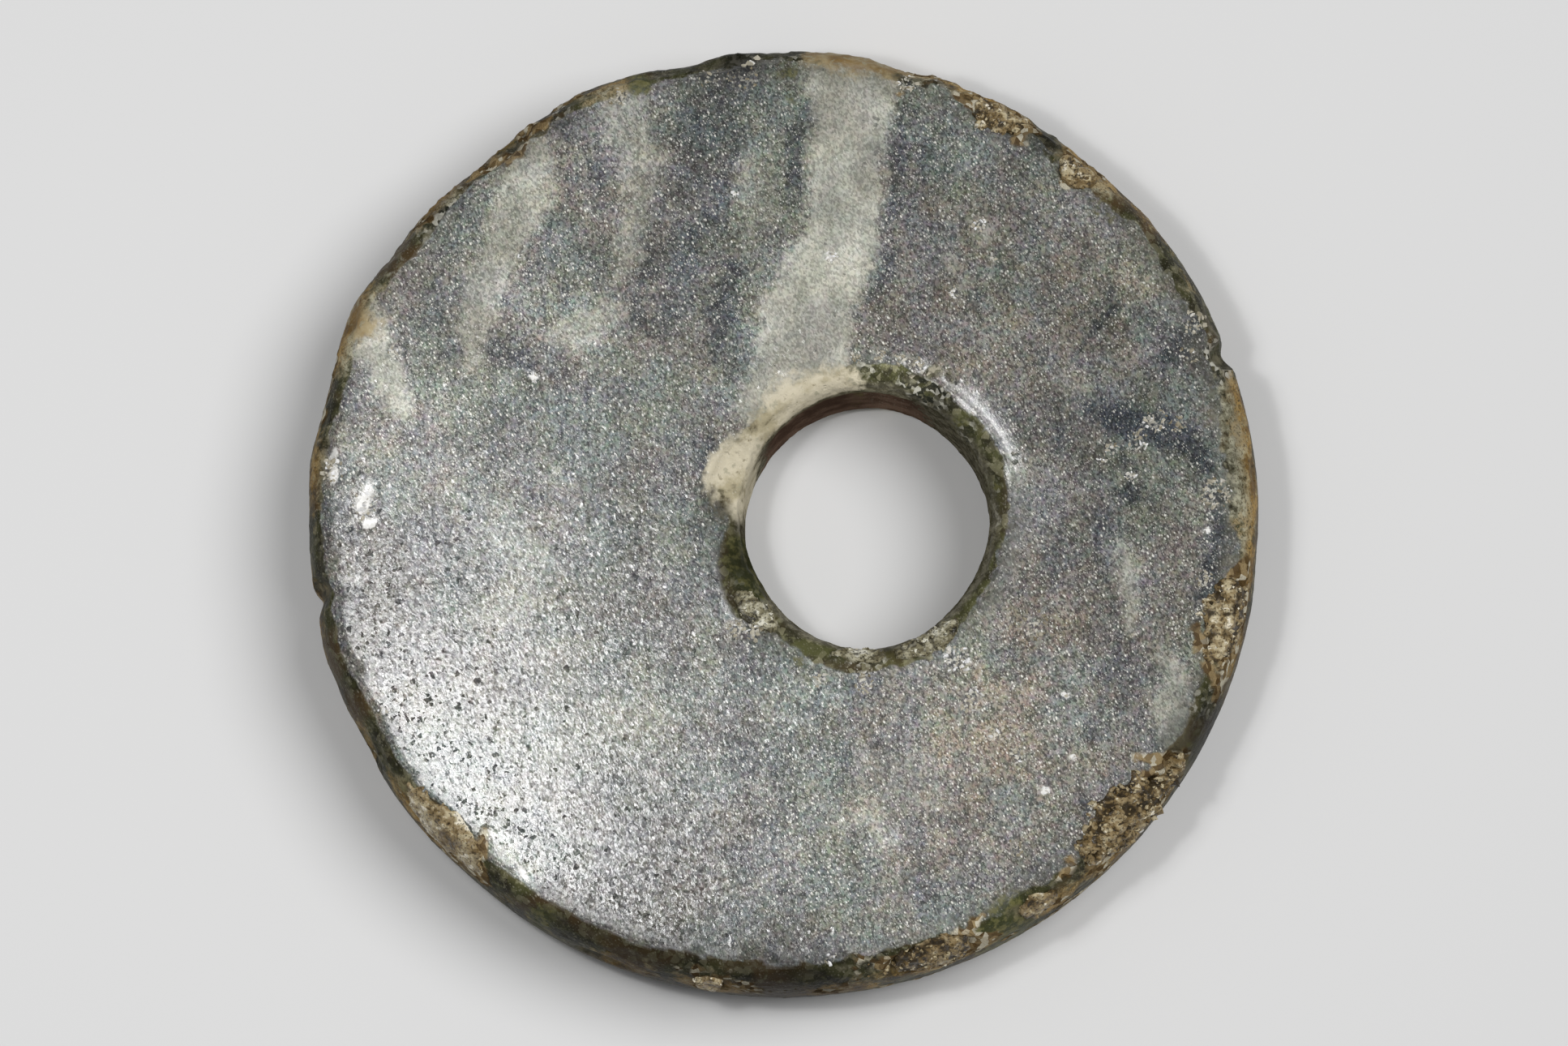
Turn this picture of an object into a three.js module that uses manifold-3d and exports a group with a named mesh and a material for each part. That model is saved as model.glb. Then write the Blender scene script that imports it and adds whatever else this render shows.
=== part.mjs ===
// A small ancient jade disc, worn as a pendant on a cord through its bore.
// It is one ground and polished stone. The bore was drilled from both faces, off the disc's middle, and
// both its mouths are worn round. The rim is chipped, and crust from the soil sits in its larger chips.
// Millimetres, +Z up. The disc lies on its flat back face with its polished, slightly crowned face up.
import * as THREE from "three";
import { mergeVertices } from "three/addons/utils/BufferGeometryUtils.js";
import Module from "manifold-3d";

const wasm = await Module();
wasm.setup();

// Disc
const discDiameter = 30;
const discThickness = 4.6;
const crownHeight = 0.22; // the front face falls by this much from its middle to its edge
const crownPower = 2.6; // how late the crown falls away
const frontRounding = 1.0; // radial width of the rounding from the front face to the rim
const backRounding = 0.85;
const rimCrestHeight = 2.1; // where the rim is widest, above the back face
const rimFullness = 2.5; // exponent of the rim's curve: 2 gives an ellipse, more gives a squarer rim

// Bore
const boreDiameter = 7.8;
const boreOffset = 2.63; // from the disc's axis to the bore's
const boreBearing = -4; // degrees from +X, where the bore lies
const frontMouthRounding = 0.95; // radial width of the worn mouth at the front face
const frontMouthDepth = 1.05;
const backMouthRounding = 0.8;
const backMouthDepth = 0.9;
const boreLean = 0.12; // how far the bore strays sideways from its back mouth to its front one
const boreOverrun = 1; // the cutting tool for the bore runs this far past both faces

// Chips and crust
const chipLength = 3; // along the edge
const chipBreadth = 1.5; // across it
const chipDepth = 0.5;
const crustRise = 0.22; // how far the proudest crust stands above the stone's unbroken surface
const crustSeat = 0.04; // clearance between a crust and the stone that holds it

// Facets
const discFacets = 120;
const boreFacets = 64;
const roundingSteps = 6;
const crownSteps = 4;
const scoopDetail = 3;
const crustDetail = 4;

const discRadius = discDiameter / 2;
const boreRadius = boreDiameter / 2;
const fullTurn = 2 * Math.PI;
const quarterTurn = Math.PI / 2;
const radians = THREE.MathUtils.degToRad;
const discCentre = new THREE.Vector2(0, 0);

// Outline

// Where grinding and wear have left the outline in or out: [bearing, half width, rise], the first two in
// degrees and the rise as a share of the disc's radius.
const outlineWearShares = [
  [20, 4, -0.008],
  [51, 13, -0.009],
  [66, 6, -0.007],
  [75, 6, -0.013],
  [91, 4, -0.004],
  [102, 6, -0.011],
  [114, 8, 0.006],
  [130, 10, -0.01],
  [154, 10, 0.017],
  [173, 6, 0.006],
  [189, 3, -0.006],
  [195, 4, 0.006],
  [208, 7, -0.007],
  [230, 14, -0.004],
  [356, 8, -0.003],
];

const wearFade = 4; // how fast the wear dies away from the outline inward

// Chips in the rim. The bearing is in degrees, and so is the climb, from 0 at the crest of the rim to 90 at
// the front face's edge and -90 at the back's. The rest are shares of chipLength, chipBreadth and chipDepth
// and, for the chips that hold crust, of crustRise.
const rimChipShares = [
  { bearing: 61.7, climb: 70, length: 0.68, breadth: 0.9, depth: 0.8, crust: "upper_right", rise: 0.8 },
  { bearing: 49.7, climb: 74, length: 0.48, breadth: 0.8, depth: 0.7, crust: "right_shoulder", rise: 0.6 },
  { bearing: -13.4, climb: 70, length: 0.95, breadth: 1.15, depth: 1.0, crust: "right", rise: 0.7 },
  { bearing: -42, climb: 58, length: 1.35, breadth: 1.5, depth: 1.4, crust: "lower_right", rise: 0.9 },
  { bearing: -57, climb: 48, length: 0.4, breadth: 0.65, depth: 0.6, crust: "lower_right_small", rise: 1 },
  { bearing: -71.5, climb: 48, length: 1.15, breadth: 1.05, depth: 0.9, crust: "bottom", rise: 0.8 },
  { bearing: -98.8, climb: 30, length: 0.33, breadth: 0.6, depth: 0.5, crust: "bottom_grain", rise: 1 },
  { bearing: 223.5, climb: 56, length: 1.15, breadth: 1.3, depth: 0.9, crust: "lower_left", rise: 0.4 },
  { bearing: 20, climb: 35, length: 0.32, breadth: 1.3, depth: 0.65 },
  { bearing: -32.5, climb: 55, length: 0.3, breadth: 1.1, depth: 0.6 },
  { bearing: 189, climb: 35, length: 0.3, breadth: 1.2, depth: 0.5 },
  { bearing: 173, climb: 66, length: 0.55, breadth: 0.65, depth: 0.4 },
  { bearing: 128, climb: 50, length: 1.0, breadth: 0.7, depth: 0.45 },
  { bearing: 98, climb: 60, length: 0.7, breadth: 0.7, depth: 0.4 },
  { bearing: 209, climb: 15, length: 0.6, breadth: 1.1, depth: 0.4 },
  { bearing: 248, climb: 10, length: 0.8, breadth: 0.9, depth: 0.4 },
  { bearing: 147, climb: -45, length: 0.9, breadth: 0.9, depth: 0.5 },
  { bearing: 82, climb: -50, length: 1.1, breadth: 0.8, depth: 0.5 },
  { bearing: -22, climb: -55, length: 1.2, breadth: 1, depth: 0.6 },
];

// Flakes lost from the bore's front mouth: the same shares, but the bearing is from the bore's axis and the
// climb is from 0 at the bore's wall to 90 at the front face.
const mouthChipShares = [
  { bearing: 163, climb: 62, length: 0.85, breadth: 0.95, depth: 0.65 },
  { bearing: 222, climb: 76, length: 0.6, breadth: 0.65, depth: 0.5, crust: "lower_left", rise: 0.7 },
  { bearing: -92, climb: 52, length: 0.45, breadth: 0.6, depth: 0.5, crust: "bottom", rise: 0.6 },
  { bearing: -66, climb: 58, length: 0.65, breadth: 0.75, depth: 0.6, crust: "lower_right", rise: 0.7 },
  { bearing: 58, climb: 70, length: 0.6, breadth: 0.45, depth: 0.3 },
];

// A scoop's middle stands above the stone's surface by this share of its reach, so that it cuts a shallow
// scar. Crust fills this share of its chip's length and breadth.
const scoopLiftShare = 0.35;
const crustFillShare = 0.96;

// How far a lump strays from an egg along each axis, and in how many waves. Crust strays more.
const lumpStrayShares = [0.05, 0.045, 0.04];
const lumpWaves = [3.1, 4.3, 5.2];
const lumpTwist = 9; // how soon the waves change from one lump to the next round the disc
const crustRoughness = 2;

// Geometry and solids

function toSolid(geometry) {
  const bare = new THREE.BufferGeometry();
  bare.setAttribute("position", geometry.getAttribute("position").clone());
  bare.setIndex(geometry.index);
  const merged = mergeVertices(bare);
  const corners = merged.index.array;
  const kept = [];
  for (let i = 0; i < corners.length; i += 3) {
    const [a, b, c] = corners.slice(i, i + 3);
    if (a !== b && b !== c && c !== a) kept.push(a, b, c);
  }
  return new wasm.Manifold(
    new wasm.Mesh({
      numProp: 3,
      vertProperties: merged.getAttribute("position").array,
      triVerts: new Uint32Array(kept),
    }),
  );
}

function toGeometry(solid) {
  const mesh = solid.getMesh();
  const geometry = new THREE.BufferGeometry();
  geometry.setAttribute("position", new THREE.BufferAttribute(mesh.vertProperties, 3));
  geometry.setIndex(new THREE.BufferAttribute(mesh.triVerts, 1));
  const shaded = geometry.toNonIndexed();
  shaded.computeVertexNormals();
  return shaded;
}

// A profile of [radius, height] points, from the axis at the bottom to the axis at the top, turned about Z.
function turned(profile, facets) {
  const points = profile.map(([radius, height]) => new THREE.Vector2(radius, height));
  const lathe = new THREE.LatheGeometry(points, facets);
  lathe.rotateX(Math.PI / 2);
  return lathe;
}

function moveCorners(geometry, move) {
  const position = geometry.getAttribute("position");
  const corner = new THREE.Vector3();
  for (let i = 0; i < position.count; i++) {
    corner.fromBufferAttribute(position, i);
    move(corner);
    position.setXYZ(i, corner.x, corner.y, corner.z);
  }
  return geometry;
}

// The forms

function wearAt(bearing) {
  let rise = 0;
  for (const [middle, halfWidth, share] of outlineWearShares) {
    const turn = THREE.MathUtils.euclideanModulo(bearing - radians(middle) + Math.PI, fullTurn) - Math.PI;
    const away = Math.abs(turn) / radians(halfWidth);
    if (away < 1) rise += share * Math.cos(away * quarterTurn) ** 2;
  }
  return rise;
}

function outlineRadius(bearing) {
  return discRadius * (1 + wearAt(bearing));
}

function crownHeightAt(radius) {
  const edge = discRadius - frontRounding;
  return discThickness - crownHeight * Math.min(radius / edge, 1) ** crownPower;
}

// The bore's middle at a height: the bore leans a little, square to its bearing
function boreCentreAt(height) {
  const middle = new THREE.Vector2(boreOffset, (boreLean * height) / discThickness);
  return middle.rotateAround(discCentre, radians(boreBearing));
}

// A place on a rounded edge: the point, the way out of the stone there and the way along the edge
function spot(centre, bearing, radius, height, outward, upward) {
  const out = new THREE.Vector3(Math.cos(bearing), Math.sin(bearing), 0);
  const at = out.clone().multiplyScalar(radius);
  at.set(at.x + centre.x, at.y + centre.y, height);
  const off = out.clone().multiplyScalar(outward);
  off.z = upward;
  return { at, off: off.normalize(), along: new THREE.Vector3(-out.y, out.x, 0) };
}

// The rim's curve at a climb: its inset from the crest and its rise above it, and the way out of the stone
function rimCurve(climb) {
  const rounding = climb < 0 ? backRounding : frontRounding;
  const height = climb < 0 ? rimCrestHeight : crownHeightAt(discRadius - frontRounding) - rimCrestHeight;
  const [out, up] = [Math.max(Math.cos(climb), 0), Math.abs(Math.sin(climb))];
  const power = 2 / rimFullness;
  return {
    inset: rounding * (1 - out ** power),
    rise: Math.sign(climb) * height * up ** power,
    outward: out ** (2 - power) / rounding,
    upward: (Math.sign(climb) * up ** (2 - power)) / height,
  };
}

function rimSpot(bearing, climb) {
  const { inset, rise, outward, upward } = rimCurve(climb);
  return spot(discCentre, bearing, outlineRadius(bearing) - inset, rimCrestHeight + rise, outward, upward);
}

function mouthSpot(bearing, climb) {
  const radius = boreRadius + frontMouthRounding * (1 - Math.cos(climb));
  const height = discThickness - frontMouthDepth * (1 - Math.sin(climb));
  const outward = -Math.cos(climb) / frontMouthRounding;
  return spot(boreCentreAt(height), bearing, radius, height, outward, Math.sin(climb) / frontMouthDepth);
}

// The blank, before drilling: flat back, rounded rim, crowned front, with its outline worn out of round
function discBlank() {
  const rim = [];
  for (let i = -roundingSteps; i <= roundingSteps; i++) {
    const { inset, rise } = rimCurve((i / roundingSteps) * quarterTurn);
    rim.push([discRadius - inset, rimCrestHeight + rise]);
  }
  const crown = [];
  for (let i = 1; i <= crownSteps; i++) {
    const radius = (discRadius - frontRounding) * (1 - i / crownSteps);
    crown.push([radius, crownHeightAt(radius)]);
  }
  const blank = turned([[0, 0], ...rim, ...crown], discFacets);
  moveCorners(blank, (corner) => {
    const spread = Math.hypot(corner.x, corner.y) / discRadius;
    const scale = 1 + wearAt(Math.atan2(corner.y, corner.x)) * spread ** wearFade;
    corner.x *= scale;
    corner.y *= scale;
  });
  return toSolid(blank);
}

// The bore: a straight wall between two mouths that flare out like a quarter of an egg
function boreTool() {
  const back = [];
  const front = [];
  for (let i = 0; i <= roundingSteps; i++) {
    const climb = (i / roundingSteps) * quarterTurn;
    const flare = 1 - Math.cos(climb);
    const fall = 1 - Math.sin(climb);
    back.unshift([boreRadius + backMouthRounding * flare, backMouthDepth * fall]);
    front.push([boreRadius + frontMouthRounding * flare, discThickness - frontMouthDepth * fall]);
  }
  const bottom = -boreOverrun;
  const top = discThickness + boreOverrun;
  const backMouth = boreRadius + backMouthRounding;
  const frontMouth = boreRadius + frontMouthRounding;
  const tool = turned(
    [[0, bottom], [backMouth, bottom], ...back, ...front, [frontMouth, top], [0, top]],
    boreFacets,
  );
  moveCorners(tool, (corner) => {
    const middle = boreCentreAt(corner.z);
    corner.x += middle.x;
    corner.y += middle.y;
  });
  return toSolid(tool);
}

// A rough egg about a place on an edge. Its half sizes are along the edge, across it and out of the stone.
function lump(place, along, across, out, lift, detail, roughness) {
  const egg = new THREE.IcosahedronGeometry(1, detail);
  const phase = lumpTwist * Math.atan2(place.at.y, place.at.x);
  moveCorners(egg, (corner) => {
    let stray = 0;
    lumpStrayShares.forEach((share, axis) => {
      stray += share * Math.sin(lumpWaves[axis] * corner.getComponent(axis) + phase * (axis + 1));
    });
    corner.multiplyScalar(1 + roughness * stray);
  });
  egg.scale(along, across, out);
  const side = new THREE.Vector3().crossVectors(place.off, place.along);
  egg.applyMatrix4(new THREE.Matrix4().makeBasis(place.along, side, place.off));
  const middle = place.at.clone().addScaledVector(place.off, lift);
  egg.translate(middle.x, middle.y, middle.z);
  return toSolid(egg);
}

function scoop(chip, place) {
  const depth = chipDepth * chip.depth;
  const reach = depth / (1 - scoopLiftShare);
  const spread = 2 * Math.sqrt(1 - scoopLiftShare ** 2);
  const [along, across] = [(chipLength * chip.length) / spread, (chipBreadth * chip.breadth) / spread];
  return lump(place, along, across, reach, reach - depth, scoopDetail, 1);
}

function largestBody(solid) {
  return solid.decompose().reduce((best, body) => (body.volume() > best.volume() ? body : best));
}

// The crust in a chip: a rough egg, no wider than the chip and clear of its walls by the seat
function crustPiece(stone, chip, place) {
  const depth = chipDepth * chip.depth;
  const rise = crustRise * chip.rise;
  const along = (crustFillShare * chipLength * chip.length) / 2;
  const across = (crustFillShare * chipBreadth * chip.breadth) / 2;
  const whole = lump(place, along, across, depth + rise, -depth, crustDetail, crustRoughness);
  const seat = place.off.clone().multiplyScalar(crustSeat);
  const hollow = scoop(chip, place).translate(seat.toArray());
  return largestBody(whole.intersect(hollow).subtract(stone));
}

// Each chip of a table with its place and the name of the crust that it may hold
function chipsOn(table, spotAt, edge) {
  return table.map((chip) => [
    chip,
    spotAt(radians(chip.bearing), radians(chip.climb)),
    `${edge}_crust_${chip.crust}`,
  ]);
}

// Materials
const jade = new THREE.MeshStandardMaterial({ color: 0x75777a, roughness: 0.38, metalness: 0 });
const crust = new THREE.MeshStandardMaterial({ color: 0x8c7854, roughness: 0.9, metalness: 0 });

// Assembly
const pendant = new THREE.Group();

function addPiece(name, solid, material) {
  const mesh = new THREE.Mesh(toGeometry(solid), material);
  mesh.name = name;
  pendant.add(mesh);
}

const chips = [...chipsOn(rimChipShares, rimSpot, "rim"), ...chipsOn(mouthChipShares, mouthSpot, "bore")];
const scoops = chips.map(([chip, place]) => scoop(chip, place));
const stone = wasm.Manifold.difference([discBlank(), boreTool(), ...scoops]);
addPiece("jade_disc", stone, jade);

for (const [chip, place, name] of chips) {
  if (chip.crust) addPiece(name, crustPiece(stone, chip, place), crust);
}

export default pendant;
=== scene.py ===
import math

import bmesh
import bpy
import numpy as np
from mathutils import Matrix, Vector


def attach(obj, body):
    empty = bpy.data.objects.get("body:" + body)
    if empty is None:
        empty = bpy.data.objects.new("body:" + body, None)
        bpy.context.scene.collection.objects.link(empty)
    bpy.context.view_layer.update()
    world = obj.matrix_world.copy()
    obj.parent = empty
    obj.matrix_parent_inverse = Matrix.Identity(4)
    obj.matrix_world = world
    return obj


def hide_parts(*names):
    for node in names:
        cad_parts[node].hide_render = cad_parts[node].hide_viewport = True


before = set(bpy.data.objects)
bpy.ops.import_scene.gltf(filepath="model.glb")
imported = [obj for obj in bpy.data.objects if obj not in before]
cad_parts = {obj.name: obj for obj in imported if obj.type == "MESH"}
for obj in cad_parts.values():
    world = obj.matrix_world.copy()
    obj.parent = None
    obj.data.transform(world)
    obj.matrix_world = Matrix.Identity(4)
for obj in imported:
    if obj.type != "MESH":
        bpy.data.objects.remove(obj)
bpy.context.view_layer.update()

MM = 0.001
rng = np.random.default_rng(11)

# The stone's dimensions, the same as the solids'
RADIUS = 15.0
THICKNESS = 4.6
CROWN = 0.22
CROWN_POWER = 2.6
FRONT_ROUND = 1.0
BACK_ROUND = 0.85
CREST = 2.1
FULLNESS = 2.5
BORE_RADIUS = 3.9
BORE_OFFSET = 2.63
BORE_BEARING = math.radians(-4)
BORE_LEAN = 0.12
MOUTH_ROUND = 0.95
MOUTH_DEPTH = 1.05
BACK_MOUTH_ROUND = 0.8
BACK_MOUTH_DEPTH = 0.9

# Wear of the bore, in its looks only: bearing and half width in degrees, growth of the radius
BORE_WEAR = [(90, 60, 0.11), (-90, 65, 0.28)]

# Wear of the outline: bearing and half width in degrees, rise as a share of the radius
WEAR = [
    (20.5, 2.5, -0.015), (51, 13, -0.009), (66, 6, -0.007), (75, 6, -0.013), (91, 4, -0.004),
    (102, 6, -0.011), (114, 8, 0.006), (130, 10, -0.01), (154, 10, 0.017), (173, 6, 0.006),
    (190, 2.2, -0.016), (196, 4, 0.005), (208, 7, -0.007), (230, 14, -0.004), (356, 8, -0.003),
]

# Larger chips in the rim: bearing and climb, then length, breadth and depth. The climb is how far round the
# edge's section a place is, in degrees: 0 at the crest of the rim, 90 at the front face and -90 at the back
RIM_CHIPS = [
    (61.7, 70, 2.04, 1.35, 0.4), (49.7, 74, 1.44, 1.2, 0.35), (-13.4, 70, 2.85, 1.73, 0.5),
    (-42, 58, 4.05, 2.25, 0.7), (-57, 48, 1.2, 0.98, 0.3), (-71.5, 48, 3.45, 1.58, 0.45),
    (-98.8, 30, 1.0, 0.9, 0.25), (223.5, 56, 3.45, 1.95, 0.45), (20, 35, 0.96, 1.95, 0.33),
    (-32.5, 55, 0.9, 1.65, 0.3), (189, 35, 0.9, 1.8, 0.25), (173, 66, 1.65, 0.98, 0.2),
    (128, 50, 3.0, 1.05, 0.23), (98, 60, 2.1, 1.05, 0.2), (209, 15, 1.8, 1.65, 0.2),
    (248, 10, 2.4, 1.35, 0.2), (147, -45, 2.7, 1.35, 0.25), (82, -50, 3.3, 1.2, 0.25),
    (-22, -55, 3.6, 1.5, 0.3),
]

# Flakes lost from the bore's front mouth, the same way. Its bearings are from the bore's axis, and its climb
# is 0 at the bore's wall and 90 at the front face
MOUTH_CHIPS = [
    (166, 66, 2.7, 1.5, 0.36), (222, 76, 1.8, 0.98, 0.25), (-92, 52, 1.35, 0.9, 0.25),
    (-66, 58, 1.95, 1.13, 0.3), (66, 66, 1.7, 0.68, 0.1),
]

# Most of a chip's bowl is cut into the stone: its share, and how softly the borders of chips and nicks end
BOWL_SHARE = 0.65
CHIP_SOFTNESS, NICK_SOFTNESS = 0.05, 0.03
# Small nicks along the edges: how many, and where on the rim they are smaller (bearing and half width)
RIM_NICKS, MOUTH_NICKS = 420, 80
FEW_NICKS = (228, 24)
# Where the rim is worn smooth, the same way
SMOOTH_RIM = (222, 34)

# Veins and streaks run through the stone with a slight lean, in x and y for each step down
VEIN_LEAN = (0.28, -0.12)
# Veins and streaks: strength, then a line of (x, y, half width)
PALE_VEINS = [
    (1.0, [(2.22, 14.8, 1.5), (2.28, 13.8, 1.4), (2.1, 12.5, 1.25), (1.97, 11.2, 1.05), (1.97, 9.9, 1.1),
           (1.89, 8.6, 1.2), (1.28, 7.55, 1.2), (0.81, 6.5, 1.28), (0.71, 5.5, 1.35), (0.56, 4.4, 1.4),
           (0.04, 3.4, 1.3)]),
    (0.6, [(-5.29, 13.9, 0.7), (-5.0, 12.5, 0.6), (-4.52, 11.2, 0.62), (-4.49, 9.9, 0.48),
           (-4.83, 8.6, 0.35), (-5.08, 7.55, 0.15)]),
    (0.8, [(-8.0, 11.6, 0.55), (-8.29, 9.9, 0.75), (-8.8, 8.6, 0.7), (-9.44, 7.3, 0.7), (-9.83, 6.0, 0.54),
           (-9.75, 5.0, 0.22)]),
    (0.55, [(-7.26, 5.6, 0.3), (-6.37, 5.9, 0.6), (-5.42, 6.4, 0.35)]),
    (1.0, [(-13.42, 6.5, 0.45), (-12.96, 5.35, 0.6), (-12.39, 4.45, 0.5), (-11.98, 3.3, 0.2)]),
    (0.8, [(10.68, -1.0, 0.15), (10.81, -1.9, 0.25), (10.94, -2.8, 0.22), (10.85, -3.6, 0.1)]),
    (0.8, [(11.97, -4.75, 0.22), (12.22, -5.9, 0.52), (12.28, -7.1, 0.47), (12.43, -8.5, 0.34)]),
    (0.35, [(-1.06, 11.6, 0.26), (-0.85, 10.5, 0.51), (-0.7, 9.5, 0.51), (-0.98, 8.45, 0.26)]),
    (0.3, [(2.48, -7.7, 0.26), (3.76, -8.25, 0.77), (5.04, -9.2, 0.31)]),
    (0.3, [(-9.06, -0.2, 0.5), (-7.78, -1.8, 0.9), (-9.31, -3.3, 0.5)]),
    (0.25, [(1.97, -9.8, 0.2), (2.86, -9.3, 0.5), (3.51, -10.6, 0.2)]),
    (0.3, [(8.89, 4.2, 0.15), (9.28, 3.8, 0.36), (9.15, 3.3, 0.15)]),
    (0.25, [(-6.75, -5.1, 0.3), (-5.21, -6.4, 0.67), (-3.42, -6.7, 0.26)]),
    (0.6, [(6.21, 9.2, 0.12), (6.3, 8.75, 0.1)]),
    (0.65, [(5.46, 6.95, 0.12), (5.7, 7.35, 0.06), (6.08, 7.38, 0.05)]),
    (0.5, [(6.7, 7.9, 0.1), (6.75, 7.8, 0.05)]),
    (0.45, [(5.3, 7.95, 0.1), (5.35, 7.75, 0.08)]),
]
DARK_STREAKS = [
    (0.5, [(-2.44, 13.8, 1.0), (-2.34, 11.7, 1.2), (-2.7, 9.9, 0.85), (-3.26, 8.1, 0.65),
           (-3.72, 6.0, 0.4)]),
    (0.85, [(0.3, 12.6, 0.05), (0.38, 11.7, 0.2), (0.38, 10.4, 0.2), (0.45, 9.7, 0.05)]),
    (0.8, [(-1.49, 7.8, 0.3), (-1.88, 6.25, 0.4), (-2.14, 5.0, 0.2)]),
    (0.8, [(-4.44, 8.85, 0.2), (-4.26, 7.4, 0.36), (-4.55, 6.1, 0.2)]),
    (0.8, [(-9.52, 5.35, 0.2), (-8.29, 4.9, 0.22), (-7.78, 4.2, 0.12)]),
    (0.7, [(3.81, 13.0, 0.22), (3.61, 11.2, 0.2), (3.25, 9.6, 0.26), (3.3, 7.8, 0.34), (2.86, 6.9, 0.14)]),
    (0.6, [(-1.49, 2.15, 0.2), (-2.14, 1.85, 0.3), (-2.49, 0.8, 0.22)]),
    (0.9, [(9.3, 3.5, 0.3), (10.9, 2.75, 0.6), (12.48, 2.4, 0.5), (13.3, 1.4, 0.35)]),
    (0.85, [(10.4, 2.3, 0.2), (10.81, 1.45, 0.3), (10.99, 0.5, 0.35), (10.17, 0.1, 0.2)]),
    (0.8, [(11.7, 4.3, 0.1), (12.6, 5.4, 0.35), (13.1, 6.2, 0.3)]),
    (0.9, [(9.1, 4.85, 0.14), (9.79, 5.85, 0.16), (10.48, 6.55, 0.1)]),
    (0.6, [(0.56, -4.75, 0.2), (1.2, -5.25, 0.18)]),
    (0.6, [(10.3, -1.7, 0.06), (10.5, -3.1, 0.1), (10.5, -4.1, 0.06)]),
    (0.9, [(13.3, 0.8, 0.15), (13.76, 0.2, 0.3), (13.63, -0.75, 0.2), (13.2, -2.6, 0.35)]),
]

# Stone bleached to cream and rust where the largest vein meets the bore and the rim, the same way
ALTERED = [
    (1.0, [(2.0, 4.2, 0.4), (1.3, 4.0, 0.6), (0.58, 3.7, 0.62), (-0.06, 3.25, 0.6), (-0.6, 2.75, 0.45),
           (-1.1, 2.2, 0.4), (-1.5, 1.6, 0.55), (-1.74, 1.2, 0.64), (-1.62, 0.65, 0.4), (-1.42, 0.25, 0.2),
           (-1.36, -0.1, 0.06)]),
    (1.0, [(0.9, 14.9, 0.45), (2.2, 14.75, 0.7), (3.6, 14.5, 0.55)]),
    (0.9, [(-13.75, 6.6, 0.4), (-13.3, 6.0, 0.35)]),
]

# Warmer and greener spots and places where the polish is pitted: x, y, radius and strength
WARM_SPOTS = [
    (6.4, 7.0, 2.4, 0.6), (7.2, -6.6, 2.8, 1), (10.0, 7.5, 2.2, 0.7), (5.4, 5.4, 1.2, 0.8),
    (8.2, -3.6, 1.4, 1), (4.5, -9, 2.5, 0.8),
]
GREEN_SPOTS = [
    (-4.5, 13.75, 0.5, 1), (0.2, 14.1, 0.4, 0.8), (0.35, 13.2, 0.35, 0.6), (3.7, 14.2, 0.4, 0.8),
    (7.4, -12.7, 0.9, 1), (6.2, -13.3, 0.6, 0.7), (-7.6, -12.7, 0.5, 0.9), (0.6, -4.7, 0.5, 0.5),
    (5.6, 2.9, 0.4, 0.6), (6.8, 1.0, 0.5, 0.6), (2.3, 4.3, 0.5, 0.8), (-1.2, -1.7, 0.7, 1.1),
    (-0.9, -2.7, 0.5, 0.8), (-1.45, -0.9, 0.35, 0.7), (10.2, 9.6, 0.6, 0.6), (-11.9, -8.6, 0.6, 0.5),
    (13.2, -7.6, 0.8, 0.8),
]
PITTED = [
    (-11.6, -5.6, 1.8, 1.0), (-9.6, -8.4, 1.6, 1.0), (-7.6, -10.2, 1.2, 0.7), (-12.6, -2.6, 1.4, 0.5),
    (-3.5, -13, 1.5, 0.4),
]
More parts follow.
